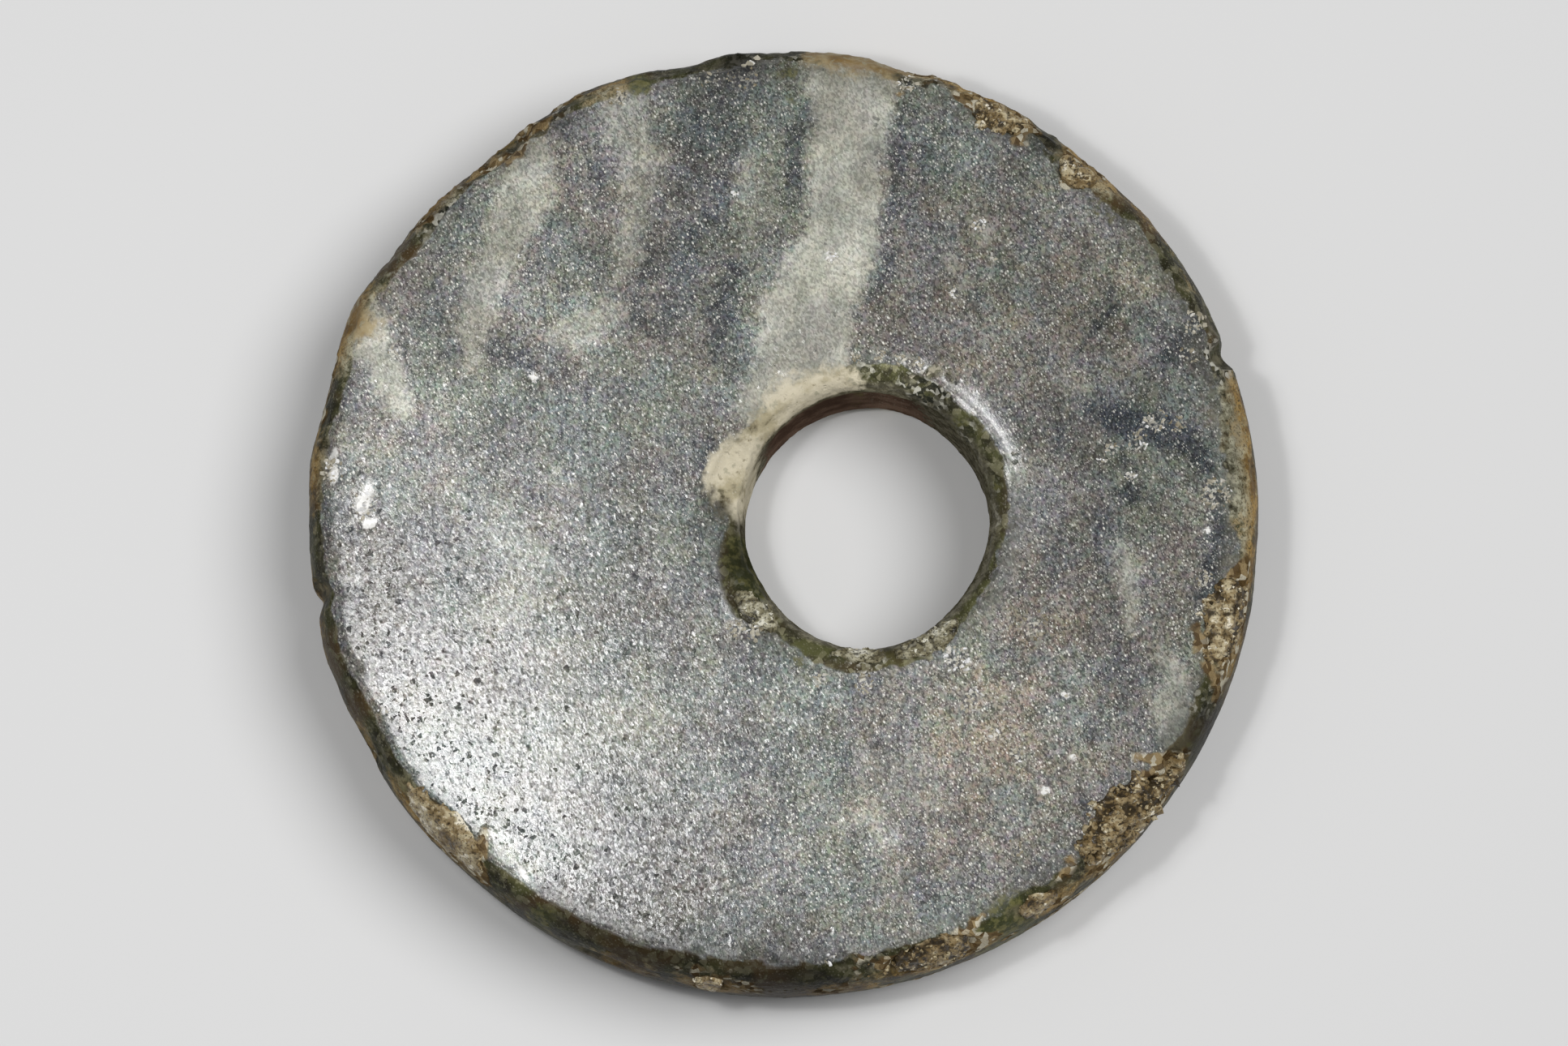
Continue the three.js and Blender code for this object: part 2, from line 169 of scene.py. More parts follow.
# Lighter and darker parts of the stone, with painted light among them. The brighter spots along the bottom
# and at the left middle are painted sheen, and the small bright spots at the lower left edge are painted
# highlight.
# The darker spots at the lower left and at the left tone that sheen down. The two small dark spots under the
# cream scar are a painted ledge shadow, and two more make the bottom rim darker. x, y, radius and gain
TONE_AND_PAINTED_LIGHT_SPOTS = [
    (11.6, 2.6, 2.2, -0.32), (9.8, 5.6, 1.3, -0.2), (6.6, 8.5, 3.2, -0.18), (9.0, 0, 2.5, -0.06),
    (7.5, -6.8, 3.2, 0.22), (-11.8, 2.8, 2.2, 0.4), (-8.2, 9.4, 2.6, 0.22), (-12.6, 5.4, 1.4, 0.25),
    (-6.6, 5.9, 1.8, 0.25), (1.2, 6.5, 2.2, 0.12), (-8.6, 0.9, 3.0, 0.2), (4.5, -2.0, 2.6, -0.08),
    (-9.2, 6.5, 1.6, 0.2), (0.5, -9.0, 4.5, 0.12), (13.9, -7.0, 1.2, -0.55), (-4, -14.6, 2.6, -0.5),
    (0.5, -14.9, 2.2, -0.75), (13.1, -7.4, 1.2, -0.6), (3.3, 4.2, 0.9, 0.7), (2.0, 9.3, 1.6, 0.15),
    (-1.75, 0.15, 0.24, -0.6), (-1.4, -0.4, 0.3, -0.5), (-1.1, -2.2, 1.1, -0.4), (10.9, -2.4, 1.0, 0.15),
    (3.5, -9.5, 5.5, 0.08), (12.2, -7.0, 1.2, 0.15), (-5, -10, 3.0, -0.43), (-4.6, -1.2, 2.0, -0.1),
    (-9.0, -10.2, 0.45, 0.9), (-8.7, -10.7, 0.4, 0.9), (-8.25, -11.2, 0.5, 1.1), (-7.95, -11.6, 0.4, 0.9),
    (-12.6, -3.0, 2.0, -0.2), (2.2, 12.6, 1.4, -0.09), (7.0, -0.7, 0.9, 0.2), (1.5, -10.8, 4.0, 0.2),
    (-1.8, 12.5, 1.6, -0.07), (2.3, -4.45, 0.55, 0.2), (-1.5, 14.7, 0.8, -0.5), (8.3, 12.1, 0.6, -0.5),
    (-6.9, 12.5, 0.6, -0.45), (-8.2, 11.6, 0.6, -0.45), (-1.4, -1.3, 0.6, -0.4), (-11.0, 9.9, 0.8, -0.4),
    (3.36, -4.35, 0.2, -0.6), (-0.9, 14.1, 1.1, -0.4),
]

# How many degrees of climb a patch on an edge fades out over, and how far from the rim's crest or from the
# bore's wall anything of that edge can reach
PATCH_CLIMB = 40
RIM_LIMIT, MOUTH_LIMIT, LIP_LIMIT = 4.0, 3.0, 6.0
# Tan and rusty skin on the edges: bearing, half width and climb, then strength
RIM_SKIN = [
    (82, 6, 55, 1.0), (74, 5, 35, 0.8), (64, 6, 55, 0.9), (48, 6, 50, 0.9), (40, 7, 40, 0.6),
    (30, 5, 50, 0.4), (12, 6, 62, 1.1), (3, 7, 60, 1.0), (-7, 7, 58, 0.8), (-16, 6, 62, 0.8),
    (-42, 10, 45, 0.9), (-56, 8, 35, 0.6), (-70, 10, 42, 0.8), (-84, 7, 18, 0.8), (-98, 6, 30, 0.8),
    (-109, 6, 25, 0.7), (-124, 9, 25, 0.4), (222, 9, 45, 0.9), (207, 6, 25, 0.5), (191, 8, 20, 0.6),
    (175, 7, 55, 0.7), (156, 7, 60, 0.9), (138, 5, 50, 0.75), (127, 6, 40, 0.45), (112, 4, 60, 0.7),
]
MOUTH_SKIN = [(-93, 16, 45, 0.4), (-62, 14, 58, 0.5), (222, 12, 70, 0.4)]
# Broken edges where pale crystals stand in dark stone, the same way
RIM_FROST = [
    (95, 5, 78, 0.55), (89, 2.5, 76, 0.5), (106, 4, 70, 0.4), (120, 5, 60, 0.6), (130, 5, 60, 0.5),
    (138, 5, 66, 0.8), (147, 4, 62, 0.4), (19, 5, 72, 0.9), (70, 5, 70, 0.6), (-24, 5, 70, 0.5),
    (30, 6, 60, 0.3),
]
MOUTH_FROST = [
    (64, 13, 62, 1.1), (92, 9, 78, 0.6), (40, 9, 40, 0.6), (8, 26, 45, 0.45), (-92, 14, 66, 0.7),
    (-60, 14, 66, 0.7), (214, 16, 66, 0.7),
]

# How far the worn band of each edge reaches, from the crest of the rim and from the bore's wall, with what
# is added at some bearings: bearing, half width and reach. The fade is how softly the mouth's band ends
RIM_REACH, MOUTH_REACH, MOUTH_SOFTNESS = 2.3, 1.25, 0.12
RIM_BAND = [
    (332, 7, 0.25), (6, 9, 0.35), (228, 22, 0.15), (268, 18, 0.2), (186, 14, -0.15), (90, 12, -0.2),
    (45, 14, 0.1), (300, 16, 0.15),
]
MOUTH_BAND = [
    (215, 13, 0.6), (200, 8, 0.15), (183, 7, -0.3), (256, 22, 0.42), (288, 16, 0.4), (80, 22, 0.25),
    (345, 36, -0.2),
]
MOUTH_FADE = [(196, 22, 0.24)]

# The lip of the mouth is worn round: how deep, and how far out over the face
LIP_WEAR, LIP_WIDTH = 0.075, 0.85
# Where it is bright, and the brown part of the bore's wall, elsewhere grey and olive: bearing and half width
BRIGHT_LIP = (42, 25)
BROWN_WALL = (104, 42)

# Painted highlights: patches painted near white where the light would glint off a flake's broad face or off
# the polish: x, y, half length, half width, turn in degrees
GLINT_PATCHES = [
    (-13.2, 0.35, 0.75, 0.3, 72), (-13.0, -0.3, 0.3, 0.2, 20), (-14.15, 1.35, 0.5, 0.2, 100),
    (-14.2, 1.9, 0.3, 0.2, 40), (1.55, 8.12, 0.22, 0.16, 30), (-1.49, 10.14, 0.13, 0.09, 80),
    (-7.85, 4.32, 0.2, 0.14, 10), (8.9, -5.8, 0.16, 0.13, 0), (8.25, -8.8, 0.2, 0.14, 20),
    (9.1, -7.75, 0.13, 0.1, 60), (13.38, -0.61, 0.15, 0.13, 0), (10.93, 1.1, 0.13, 0.1, 0),
    (9.55, -10.1, 0.15, 0.12, 0), (-12.5, -6.2, 0.16, 0.12, 80), (11.2, -9.85, 0.16, 0.12, 0),
    (-9.05, -10.15, 0.3, 0.09, 127), (-8.1, -11.35, 0.3, 0.12, 122),
]

# Soil in the hollows of the edges, the same way
RIM_SOIL = [
    (63, 6, 62, 0.8), (49, 5, 68, 0.7), (72, 5, 45, 0.5), (124, 9, 52, 0.65), (138, 4, 62, 0.6),
    (160, 6, 60, 0.3), (175, 7, 60, 0.6), (223, 10, 50, 0.5), (262, 7, 36, 0.75), (276, 5, 28, 0.6),
    (290, 14, 48, 0.9), (304, 7, 50, 0.8), (318, 11, 58, 0.9), (346, 11, 68, 0.9), (358, 5, 62, 0.5),
    (12, 6, 30, 0.3), (40, 30, -30, 0.5), (120, 40, -35, 0.6), (210, 30, -40, 0.5), (300, 35, -30, 0.6),
]
MOUTH_SOIL = [(-92, 10, 50, 0.9), (-66, 11, 62, 0.8), (222, 12, 74, 0.8), (66, 12, 66, 0.45)]

# Crust pieces: node, edge, bearing, climb, length, breadth, depth, rise, count of shards, tone, coarseness
CRUSTS = [
    ("rim_crust_upper_right", "rim", 61.7, 70, 2.1, 1.3, 0.4, 0.06, 90, 0.42, 1.2),
    ("rim_crust_right_shoulder", "rim", 49.7, 74, 1.5, 1.15, 0.35, 0.05, 50, 0.42, 1.1),
    ("rim_crust_right", "rim", -13.4, 70, 2.9, 1.65, 0.5, 0.06, 110, 0.46, 1.1),
    ("rim_crust_lower_right", "rim", -42, 58, 4.1, 2.2, 0.7, 0.08, 260, 0.385, 1.5),
    ("rim_crust_lower_right_small", "rim", -57, 48, 1.25, 1.0, 0.3, 0.08, 24, 0.45, 0.9),
    ("rim_crust_bottom", "rim", -71.5, 48, 3.5, 1.5, 0.45, 0.06, 90, 0.4, 1.1),
    ("rim_crust_bottom_grain", "rim", -98.8, 30, 0.95, 0.8, 0.25, 0.12, 14, 0.7, 0.8),
    ("rim_crust_lower_left", "rim", 223.5, 56, 3.4, 1.8, 0.45, 0.03, 16, 0.68, 0.3),
    ("bore_crust_lower_left", "mouth", 222, 76, 1.8, 0.9, 0.25, 0.06, 36, 0.72, 0.9),
    ("bore_crust_bottom", "mouth", -92, 52, 1.35, 0.85, 0.25, 0.06, 26, 0.72, 0.8),
    ("bore_crust_lower_right", "mouth", -66, 58, 1.95, 1.05, 0.3, 0.06, 40, 0.62, 0.9),
]

# Spacing of a crust piece's points, and the sizes and tones that its shards are picked from
CRUST_SPACING = 0.034
SHARD_SIZES, SHARD_TONES = [0.05, 0.08, 0.12, 0.17], [-0.4, 0.1, 0.4, 0.6]

# Broken spots of the polish, where pale crystals show; the whitest crystals, with whiteness near 1, are
# painted glints: x, y, radius, count of crystals, whiteness
SCUFFS = [
    (11.71, 2.89, 0.4, 26, 0.55), (12.48, 2.76, 0.28, 16, 0.3), (11.2, 2.24, 0.34, 20, 0.6),
    (10.94, 1.12, 0.2, 12, 0.8), (10.3, 1.98, 0.28, 14, 0.5), (10.05, 1.6, 0.15, 6, 0.8),
    (13.63, 0.55, 0.5, 46, 0.5), (13.38, -0.61, 0.12, 5, 1), (13.25, -2.16, 0.28, 16, 0.6),
    (8.89, -5.79, 0.1, 4, 1), (9.1, -7.75, 0.1, 4, 1), (8.25, -8.8, 0.13, 6, 1),
    (9.53, -10.1, 0.14, 6, 1), (7.86, -3.59, 0.5, 26, 0.25), (5.94, -5.92, 0.42, 26, 0.55),
    (6.7, -7.0, 0.4, 22, 0.5), (7.35, -7.6, 0.35, 18, 0.5), (5.5, -4.7, 0.45, 40, 0.9),
    (2.6, -5.3, 0.4, 22, 0.5), (1.2, -5.3, 0.25, 10, 0.4), (-1.49, 10.14, 0.13, 6, 1),
    (-1.4, -3.66, 0.34, 30, 0.55), (-0.85, -3.8, 0.28, 22, 0.55), (2.3, 4.9, 0.2, 10, 0.5),
    (3.1, 4.95, 0.2, 10, 0.5), (3.8, 4.88, 0.25, 12, 0.6), (4.35, 4.66, 0.22, 12, 0.7),
    (6.25, 9.1, 0.25, 18, 0.7), (5.45, 7.0, 0.22, 16, 0.7), (6.6, 8.0, 0.12, 6, 0.6),
    (7.35, -10.6, 0.3, 12, 0.4), (1.58, 8.12, 0.2, 12, 0.9), (-8.3, 8.2, 0.1, 4, 1),
    (-7.85, 4.3, 0.16, 8, 0.9), (-7.2, 1.46, 0.08, 3, 1), (-5.98, -0.53, 0.08, 3, 1),
    (-8.55, -2.68, 0.08, 3, 1), (-14.15, 1.46, 0.4, 30, 0.7), (-13.15, 0.3, 0.42, 30, 0.9),
    (-12.5, -6.18, 0.15, 6, 0.9), (1.5, -14.1, 0.2, 8, 0.9), (-1.2, 14.0, 0.7, 18, 0.4),
    (-2.3, 13.9, 0.35, 8, 0.4), (-5.1, 13.3, 0.35, 18, 0.4), (3.9, 13.7, 0.4, 18, 0.5),
    (-12.2, 5.2, 0.25, 10, 0.9), (9.6, -9.4, 0.12, 5, 0.9), (13.0, 6.0, 0.4, 20, 0.4),
    (12.8, 5.0, 0.3, 12, 0.35),
]

# Points round the stone, and rings of points on each of its parts
COLUMNS = 720
WALL_ROWS, MOUTH_ROWS, FACE_ROWS, RIM_ROWS = 4, 17, 52, 28
BACK_RIM_ROWS, BACK_ROWS, BACK_MOUTH_ROWS = 16, 12, 5
# Stands for a distance that is out of reach
FAR_OFF = 9.0

# The stone's materials: name, dullness (0 for the polish) and how much they reflect. A face has one of them
STONE_KINDS = [("jade", 0, 0.5), ("weathered jade", 0.42, 0.08), ("bore wall", 0.6, 0.0)]
POLISHED, WEATHERED, WALL = 0, 1, 2
JADE_IOR = 1.5
# The grain of the polish lies along the marks of grinding: turn from +Y, and stretch across and along them
GRAIN_TURN, GRAIN_STRETCH = math.radians(30), (0.76, 1.3, 1.0)
# The crust on each edge: material, then its colours from brown to white
CRUST_PALETTES = {
    "rim": (
        "rim crust", (0.14, 0.094, 0.037), (0.262, 0.196, 0.1), (0.46, 0.392, 0.247), (0.78, 0.72, 0.58),
    ),
    "mouth": (
        "bore crust", (0.1, 0.085, 0.045), (0.2, 0.18, 0.11), (0.4, 0.375, 0.27), (0.7, 0.68, 0.57),
    ),
}

# The studio, in metres. Lamps: name, place, target, size, power and whether the polish mirrors them
LAMPS = [
    ("key", (-0.0284, -0.0012, 0.115), (-0.002, 0, 0), 0.026, 0.0292, True),
    ("fill", (0.32, 0.08, 0.55), (0, 0, 0), 0.4, 2.79, False),
    ("sheen", (-0.024, -0.0045, 0.115), (-0.006, -0.004, 0), 0.008, 0.016, True),
]
WORLD_STRENGTH = 0.2
FLOOR_RADIUS, FLOOR_COLOUR = 0.9, (0.7, 0.7, 0.7)
# The camera's direction and distance, its sensor, and the photograph's width and scale in pixels
AZIMUTH, ELEVATION, DISTANCE = math.radians(12), math.radians(82), 0.35
SENSOR = 36
PHOTO_WIDTH, PIXELS_PER_MM = 1934, 39


# Noise

def hashed(cells, seed):
    """A number from 0 to 1 for each whole-numbered cell."""
    h = cells[..., 0] * 374761393 + cells[..., 1] * 668265263 + cells[..., 2] * 2147483647 + seed * 974634777
    h = (h ^ (h >> 13)) * 1274126177 & 0xFFFFFFFF
    h = (h ^ (h >> 16)) * 2246822519 & 0xFFFFFFFF
    return ((h ^ (h >> 15)) & 0xFFFFFF) / 0xFFFFFF


def smooth_noise(points, seed):
    cell = np.floor(points).astype(np.int64)
    part = points - cell
    part = part * part * (3 - 2 * part)
    total = 0.0
    for corner in np.ndindex(2, 2, 2):
        weight = np.prod(np.where(corner, part, 1 - part), axis=-1)
        total = total + weight * hashed(cell + corner, seed)
    return total * 2 - 1


def fractal(points, scale, octaves, seed):
    """From about -1 to 1; scale is waves per millimetre."""
    total, size = 0.0, 1.0
    for octave in range(octaves):
        total = total + size * smooth_noise(points * scale * 2**octave, seed + octave)
        size *= 0.55
    return total


def crystals(points, scale, seed):
    """Distance to the nearest of scattered points, as a share of their spacing, and that point's number."""
    scaled = points * scale
    cell = np.floor(scaled).astype(np.int64)
    nearest = np.full(points.shape[:-1], FAR_OFF)
    number = np.zeros(points.shape[:-1])
    for step in np.ndindex(3, 3, 3):
        there = cell + np.array(step) - 1
        middle = there + np.stack([hashed(there, seed + k) for k in range(3)], axis=-1)
        far = np.linalg.norm(scaled - middle, axis=-1)
        number = np.where(far < nearest, hashed(there, seed + 3), number)
        nearest = np.minimum(nearest, far)
    return nearest, number


def crumbly(points, seed):
    """Relief of packed angular grains, from about -1 to 1, and the grains' own numbers."""
    far, number = crystals(points, 3.0, seed)
    fine, fine_number = crystals(points, 6.5, seed + 7)
    relief = (0.75 - far) * (0.5 + number) + 0.45 * (0.7 - fine) + 0.35 * fractal(points, 4.0, 2, seed + 13)
    return relief, 0.6 * number + 0.4 * fine_number


def smoothstep(low, high, value):
    t = np.clip((value - low) / (high - low), 0, 1)
    return t * t * (3 - 2 * t)


# The stone's forms

def turn_from(bearing, degrees):
    """How far a bearing is from one in degrees, in degrees, from -180 to 180."""
    return (np.degrees(bearing) - degrees + 180) % 360 - 180


def bell(bearing, middle, half_width):
    """1 at a bearing in degrees, and less and less away from it."""
    return np.exp(-((turn_from(bearing, middle) / half_width) ** 2))


def bumps(bearing, table):
    """The sum of a table's rounded bumps at each bearing."""
    total = 0.0
    for middle, half_width, height in table:
        away = np.minimum(np.abs(turn_from(bearing, middle)) / half_width, 1)
        total = total + height * np.cos(away * math.pi / 2) ** 2
    return total


def wear(radius, bearing):
    """Rise of the outline as a share of the radius; it dies out towards the middle of the disc."""
    return bumps(bearing, WEAR) * (radius / RADIUS) ** 4


def worn(radius, bearing):
    return radius * (1 + wear(radius, bearing))


def circle(radius, bearing, centre, height):
    x = centre[0] + radius * np.cos(bearing)
    y = centre[1] + radius * np.sin(bearing)
    return np.stack(np.broadcast_arrays(x, y, height), axis=-1)


def bore_centre(height):
    lean = BORE_LEAN * height / THICKNESS
    c, s = math.cos(BORE_BEARING), math.sin(BORE_BEARING)
    return BORE_OFFSET * c - lean * s, BORE_OFFSET * s + lean * c


FRONT_BORE = bore_centre(THICKNESS)


def crown_height(points):
    bearing = np.arctan2(points[..., 1], points[..., 0])
    far = np.hypot(points[..., 0], points[..., 1])
    flat = far / (1 + wear(far, bearing))
    return THICKNESS - CROWN * np.minimum(flat / (RADIUS - FRONT_ROUND), 1) ** CROWN_POWER


def rim_section(climb):
    """Inset from the crest and height, for climbs from -90 to 90 degrees."""
    climb = np.radians(climb)
    rounding = np.where(climb < 0, BACK_ROUND, FRONT_ROUND)
    height = np.where(climb < 0, CREST, THICKNESS - CROWN - CREST)
    out, up = np.maximum(np.cos(climb), 0), np.sin(climb)
    power = 2 / FULLNESS
    return rounding * (1 - out**power), CREST + height * np.sign(up) * np.abs(up) ** power


def lengths(section):
    steps = np.hypot(np.diff(section[0]), np.diff(section[1]))
    return np.concatenate([[0.0], np.cumsum(steps)])


# The rim's section by distance along it from the crest, and the mouth's by distance from the bore's wall
CREST_STEP = 180
RIM_CLIMBS = np.linspace(-90, 90, 2 * CREST_STEP + 1)
RIM_INSET, RIM_HEIGHT = rim_section(RIM_CLIMBS)
RIM_ALONG = lengths((RIM_INSET, RIM_HEIGHT))
RIM_ALONG = RIM_ALONG - RIM_ALONG[CREST_STEP]
RIM_TOP, RIM_BOTTOM = RIM_ALONG[-1], RIM_ALONG[0]
MOUTH_CLIMBS = np.linspace(0, 90, 91)
MOUTH_OUT = MOUTH_ROUND * (1 - np.cos(np.radians(MOUTH_CLIMBS)))
MOUTH_ALONG = lengths((MOUTH_OUT, MOUTH_DEPTH * np.sin(np.radians(MOUTH_CLIMBS))))
MOUTH_TOP = MOUTH_ALONG[-1]


def rim_points(along, bearing):
    """The rim's surface; past its top it goes on over the front face."""
    inset = np.interp(along, RIM_ALONG, RIM_INSET) + np.maximum(along - RIM_TOP, 0)
    height = np.interp(along, RIM_ALONG, RIM_HEIGHT)
    points = circle(worn(RADIUS - inset, bearing), bearing, (0, 0), height)
    points[..., 2] = np.where(along > RIM_TOP, crown_height(points), points[..., 2])
    return points


def mouth_points(along, bearing):
    """The bore's front mouth; past its lip it goes on over the front face, and below it down the wall."""
    out = np.interp(along, MOUTH_ALONG, MOUTH_OUT) + np.maximum(along - MOUTH_TOP, 0)
    rise = np.sin(np.radians(np.interp(along, MOUTH_ALONG, MOUTH_CLIMBS)))
    growth = bumps(bearing, BORE_WEAR) * np.maximum(1 - out / MOUTH_ROUND, 0)
    points = circle(BORE_RADIUS + out + growth, bearing, FRONT_BORE, 0.0)
    lowest = THICKNESS - MOUTH_DEPTH
    points[..., 2] = lowest + (crown_height(points) - lowest) * rise + np.minimum(along, 0)
    return points


def place_of(edge, climb):
    if edge == "rim":
        return np.interp(climb, RIM_CLIMBS, RIM_ALONG)
    return np.interp(climb, MOUTH_CLIMBS, MOUTH_ALONG)


def surface(edge, along, bearing):
    return rim_points(along, bearing) if edge == "rim" else mouth_points(along, bearing)


def spot(edge, bearing, climb):
    """A place on an edge: the point, the way out of the stone and the way along the edge."""
    bearing, along = np.radians(bearing), place_of(edge, climb)
    step = 0.02
    at = surface(edge, along, bearing)
    up = surface(edge, along + step, bearing) - surface(edge, along - step, bearing)
    beside = np.array([-math.sin(bearing), math.cos(bearing), 0.0])
    off = np.cross(up, beside) if edge == "mouth" else np.cross(beside, up)
    return at, off / np.linalg.norm(off), beside


def crowded(count, even):
    """Shares from 0 to short of 1, the closer together near both ends the less even they are."""
    t = np.linspace(0, 1, count, endpoint=False)
    return even * t + (1 - even) * (0.5 - 0.5 * np.cos(math.pi * t))


def stone_grid():
    """Rings of points round the stone, from the bore's wall over the front face, the rim and the back. Each
    point has its distance along the surface from the bore's wall and from the crest (below 0 behind it)."""
    bearing = np.linspace(0, 2 * math.pi, COLUMNS, endpoint=False)
    rings, from_wall, from_crest = [], [], []
    far = np.full(COLUMNS, FAR_OFF)

    def add(ring, wall, crest):
        rings.append(ring)
        from_wall.append(wall + 0 * far)
        from_crest.append(crest + 0 * far)

    def on_edge(edge, along):
        return surface(edge, np.full(COLUMNS, along), bearing)

    growth = bumps(bearing, BORE_WEAR)
    for z in np.linspace(BACK_MOUTH_DEPTH, THICKNESS - MOUTH_DEPTH, WALL_ROWS, endpoint=False):
        add(circle(BORE_RADIUS + growth, bearing, bore_centre(z), z), z + MOUTH_DEPTH - THICKNESS, far)
    for along in np.linspace(0, MOUTH_TOP, MOUTH_ROWS, endpoint=False):
        add(on_edge("mouth", along), along, far)
    inner, outer = on_edge("mouth", MOUTH_TOP), on_edge("rim", RIM_TOP)
    for share in crowded(FACE_ROWS, 0.55):
        ring = inner * (1 - share) + outer * share
        ring[..., 2] = crown_height(ring)
        to_inner, to_outer = (np.linalg.norm((ring - end)[..., :2], axis=-1) for end in (inner, outer))
        add(ring, MOUTH_TOP + to_inner, RIM_TOP + to_outer)
    over = np.linspace(RIM_TOP, 0, RIM_ROWS, endpoint=False)
    under = np.linspace(0, RIM_BOTTOM, BACK_RIM_ROWS, endpoint=False)
    for along in np.concatenate([over, under]):
        add(on_edge("rim", along), far, along)
    outer = circle(worn(RADIUS - BACK_ROUND, bearing), bearing, (0, 0), 0.0)
    inner = circle(BORE_RADIUS + BACK_MOUTH_ROUND, bearing, bore_centre(0), 0.0)
    for share in crowded(BACK_ROWS, 0.6):
        ring = outer * (1 - share) + inner * share
        to_inner, to_outer = (np.linalg.norm(ring - end, axis=-1) for end in (inner, outer))
        add(ring, MOUTH_TOP + to_inner, RIM_BOTTOM - to_outer)
    for climb in np.linspace(math.pi / 2, 0, BACK_MOUTH_ROWS, endpoint=False):
        z = BACK_MOUTH_DEPTH * (1 - math.sin(climb))
        out = 1 - math.cos(climb)
        radius = BORE_RADIUS + BACK_MOUTH_ROUND * out + growth * (1 - out)
        add(circle(radius, bearing, bore_centre(z), z), MOUTH_TOP * climb / (math.pi / 2), -far)
    return np.stack(rings), np.stack(from_wall), np.stack(from_crest)


def grid_normals(points, closed=True):
    if closed:
        across = np.roll(points, -1, axis=0) - np.roll(points, 1, axis=0)
        around = np.roll(points, -1, axis=1) - np.roll(points, 1, axis=1)
    else:
        across, around = np.gradient(points, axis=0), np.gradient(points, axis=1)
    normal = np.cross(across, around)
    return normal / np.maximum(np.linalg.norm(normal, axis=-1, keepdims=True), 1e-12)


def carve(points, place, length, breadth, depth, soft, rough, twist=0.0):
    """Cuts a shallow bowl with a rough floor and returns how deep it went at each point."""
    at, off, along = place
    side = np.cross(off, along)
    c, s = math.cos(twist), math.sin(twist)
    along, side = along * c + side * s, side * c - along * s
    near = np.linalg.norm(points - at, axis=-1) < max(length, breadth)
    cut = np.zeros(points.shape[:-1])
    reach = depth / BOWL_SHARE
    spread = 2 * math.sqrt(1 - (1 - BOWL_SHARE) ** 2)
    local = points[near] - (at + off * (reach - depth))
    x, y, high = local @ along / (length / spread), local @ side / (breadth / spread), local @ off
    far = np.sqrt(x * x + y * y)
    bowl = np.where(far < 1, -reach * np.sqrt(np.maximum(1 - far * far, 0)), reach * 2.5 * (far - 1))
    bowl = bowl + rough[near]
    gap = np.maximum(soft - np.abs(high - bowl), 0) / soft
    lowered = np.where(far < 1.6, np.minimum(high, bowl) - gap * gap * soft / 4, high)
    points[near] += off * (lowered - high)[:, None]
    cut[near] = high - lowered
    return cut


def nick(points, place, size, depths, rough):
    """Cuts a small bowl of random length, depth and turn."""
    shape = (size * rng.uniform(1, 2), size, size * rng.uniform(*depths))
    return carve(points, place, *shape, NICK_SOFTNESS, rough * 0.4, rng.uniform(-0.8, 0.8))


def zone(bearing, climb, table):
    """How strongly the patches of a table reach each point of an edge."""
    total = np.zeros(bearing.shape)
    for middle, half_width, level, strength in table:
        near = bell(bearing, middle, half_width) * np.exp(-(((climb - level) / PATCH_CLIMB) ** 2))
        total = np.maximum(total, strength * near)
    return total


def band(bearing, reach, table):
    return reach + sum(more * bell(bearing, middle, half_width) for middle, half_width, more in table)


def spots(points, table):
    total = np.zeros(points.shape[:-1])
    for x, y, radius, strength in table:
        total += strength * np.exp(-((points[..., 0] - x) ** 2 + (points[..., 1] - y) ** 2) / radius**2)
    return total


def ellipses(points, table):
    """How far inside the nearest ellipse each point of the front lies: 1 at its middle, 0 at its edge."""
    best = np.full(points.shape[:-1], -FAR_OFF)
    for x, y, long, short, turn in table:
        dx, dy = points[..., 0] - x, points[..., 1] - y
        c, s = math.cos(math.radians(turn)), math.sin(math.radians(turn))
        best = np.maximum(best, 1 - np.hypot((dx * c + dy * s) / long, (dy * c - dx * s) / short))
    return np.where(points[..., 2] > CREST, best, -FAR_OFF)


def strips(points, table):
    """How far inside the nearest strip each point lies (outside is less than 0), and its strength."""
    below = points[..., 2] - THICKNESS
    x, y = points[..., 0] + VEIN_LEAN[0] * below, points[..., 1] + VEIN_LEAN[1] * below
    best = np.full(points.shape[:-1], -FAR_OFF)
    weight = np.zeros(points.shape[:-1])
    for strength, line in table:
        for (x0, y0, w0), (x1, y1, w1) in zip(line, line[1:]):
            dx, dy = x1 - x0, y1 - y0
            t = np.clip(((x - x0) * dx + (y - y0) * dy) / (dx * dx + dy * dy), 0, 1)
            inside = w0 + (w1 - w0) * t - np.hypot(x - x0 - dx * t, y - y0 - dy * t)
            weight = np.where(inside > best, strength, weight)
            best = np.maximum(best, inside)
    return best, weight


def scuff_amount(points):
    """How broken the polish of the front is, around each scuff."""
    total = np.zeros(points.shape[:-1])
    for x, y, radius, _, whiteness in SCUFFS:
        near = np.hypot(points[..., 0] - x, points[..., 1] - y) / (radius * 1.25)
        total = np.maximum(total, (0.45 + 0.55 * whiteness) * (1 - near))
    return np.where(points[..., 2] > CREST, total, 0.0)


def add_mesh(name, points, faces, values, smooth=True):
    mesh = bpy.data.meshes.new(name)
    mesh.from_pydata((np.asarray(points) * MM).tolist(), [], faces)
    for key, value in values.items():
        attribute = mesh.attributes.new(key, "FLOAT", "POINT")
        attribute.data.foreach_set("value", np.ascontiguousarray(value, np.float32).ravel())
    if smooth:
        mesh.shade_smooth()
    obj = bpy.data.objects.new(name, mesh)
    bpy.context.scene.collection.objects.link(obj)
    return obj


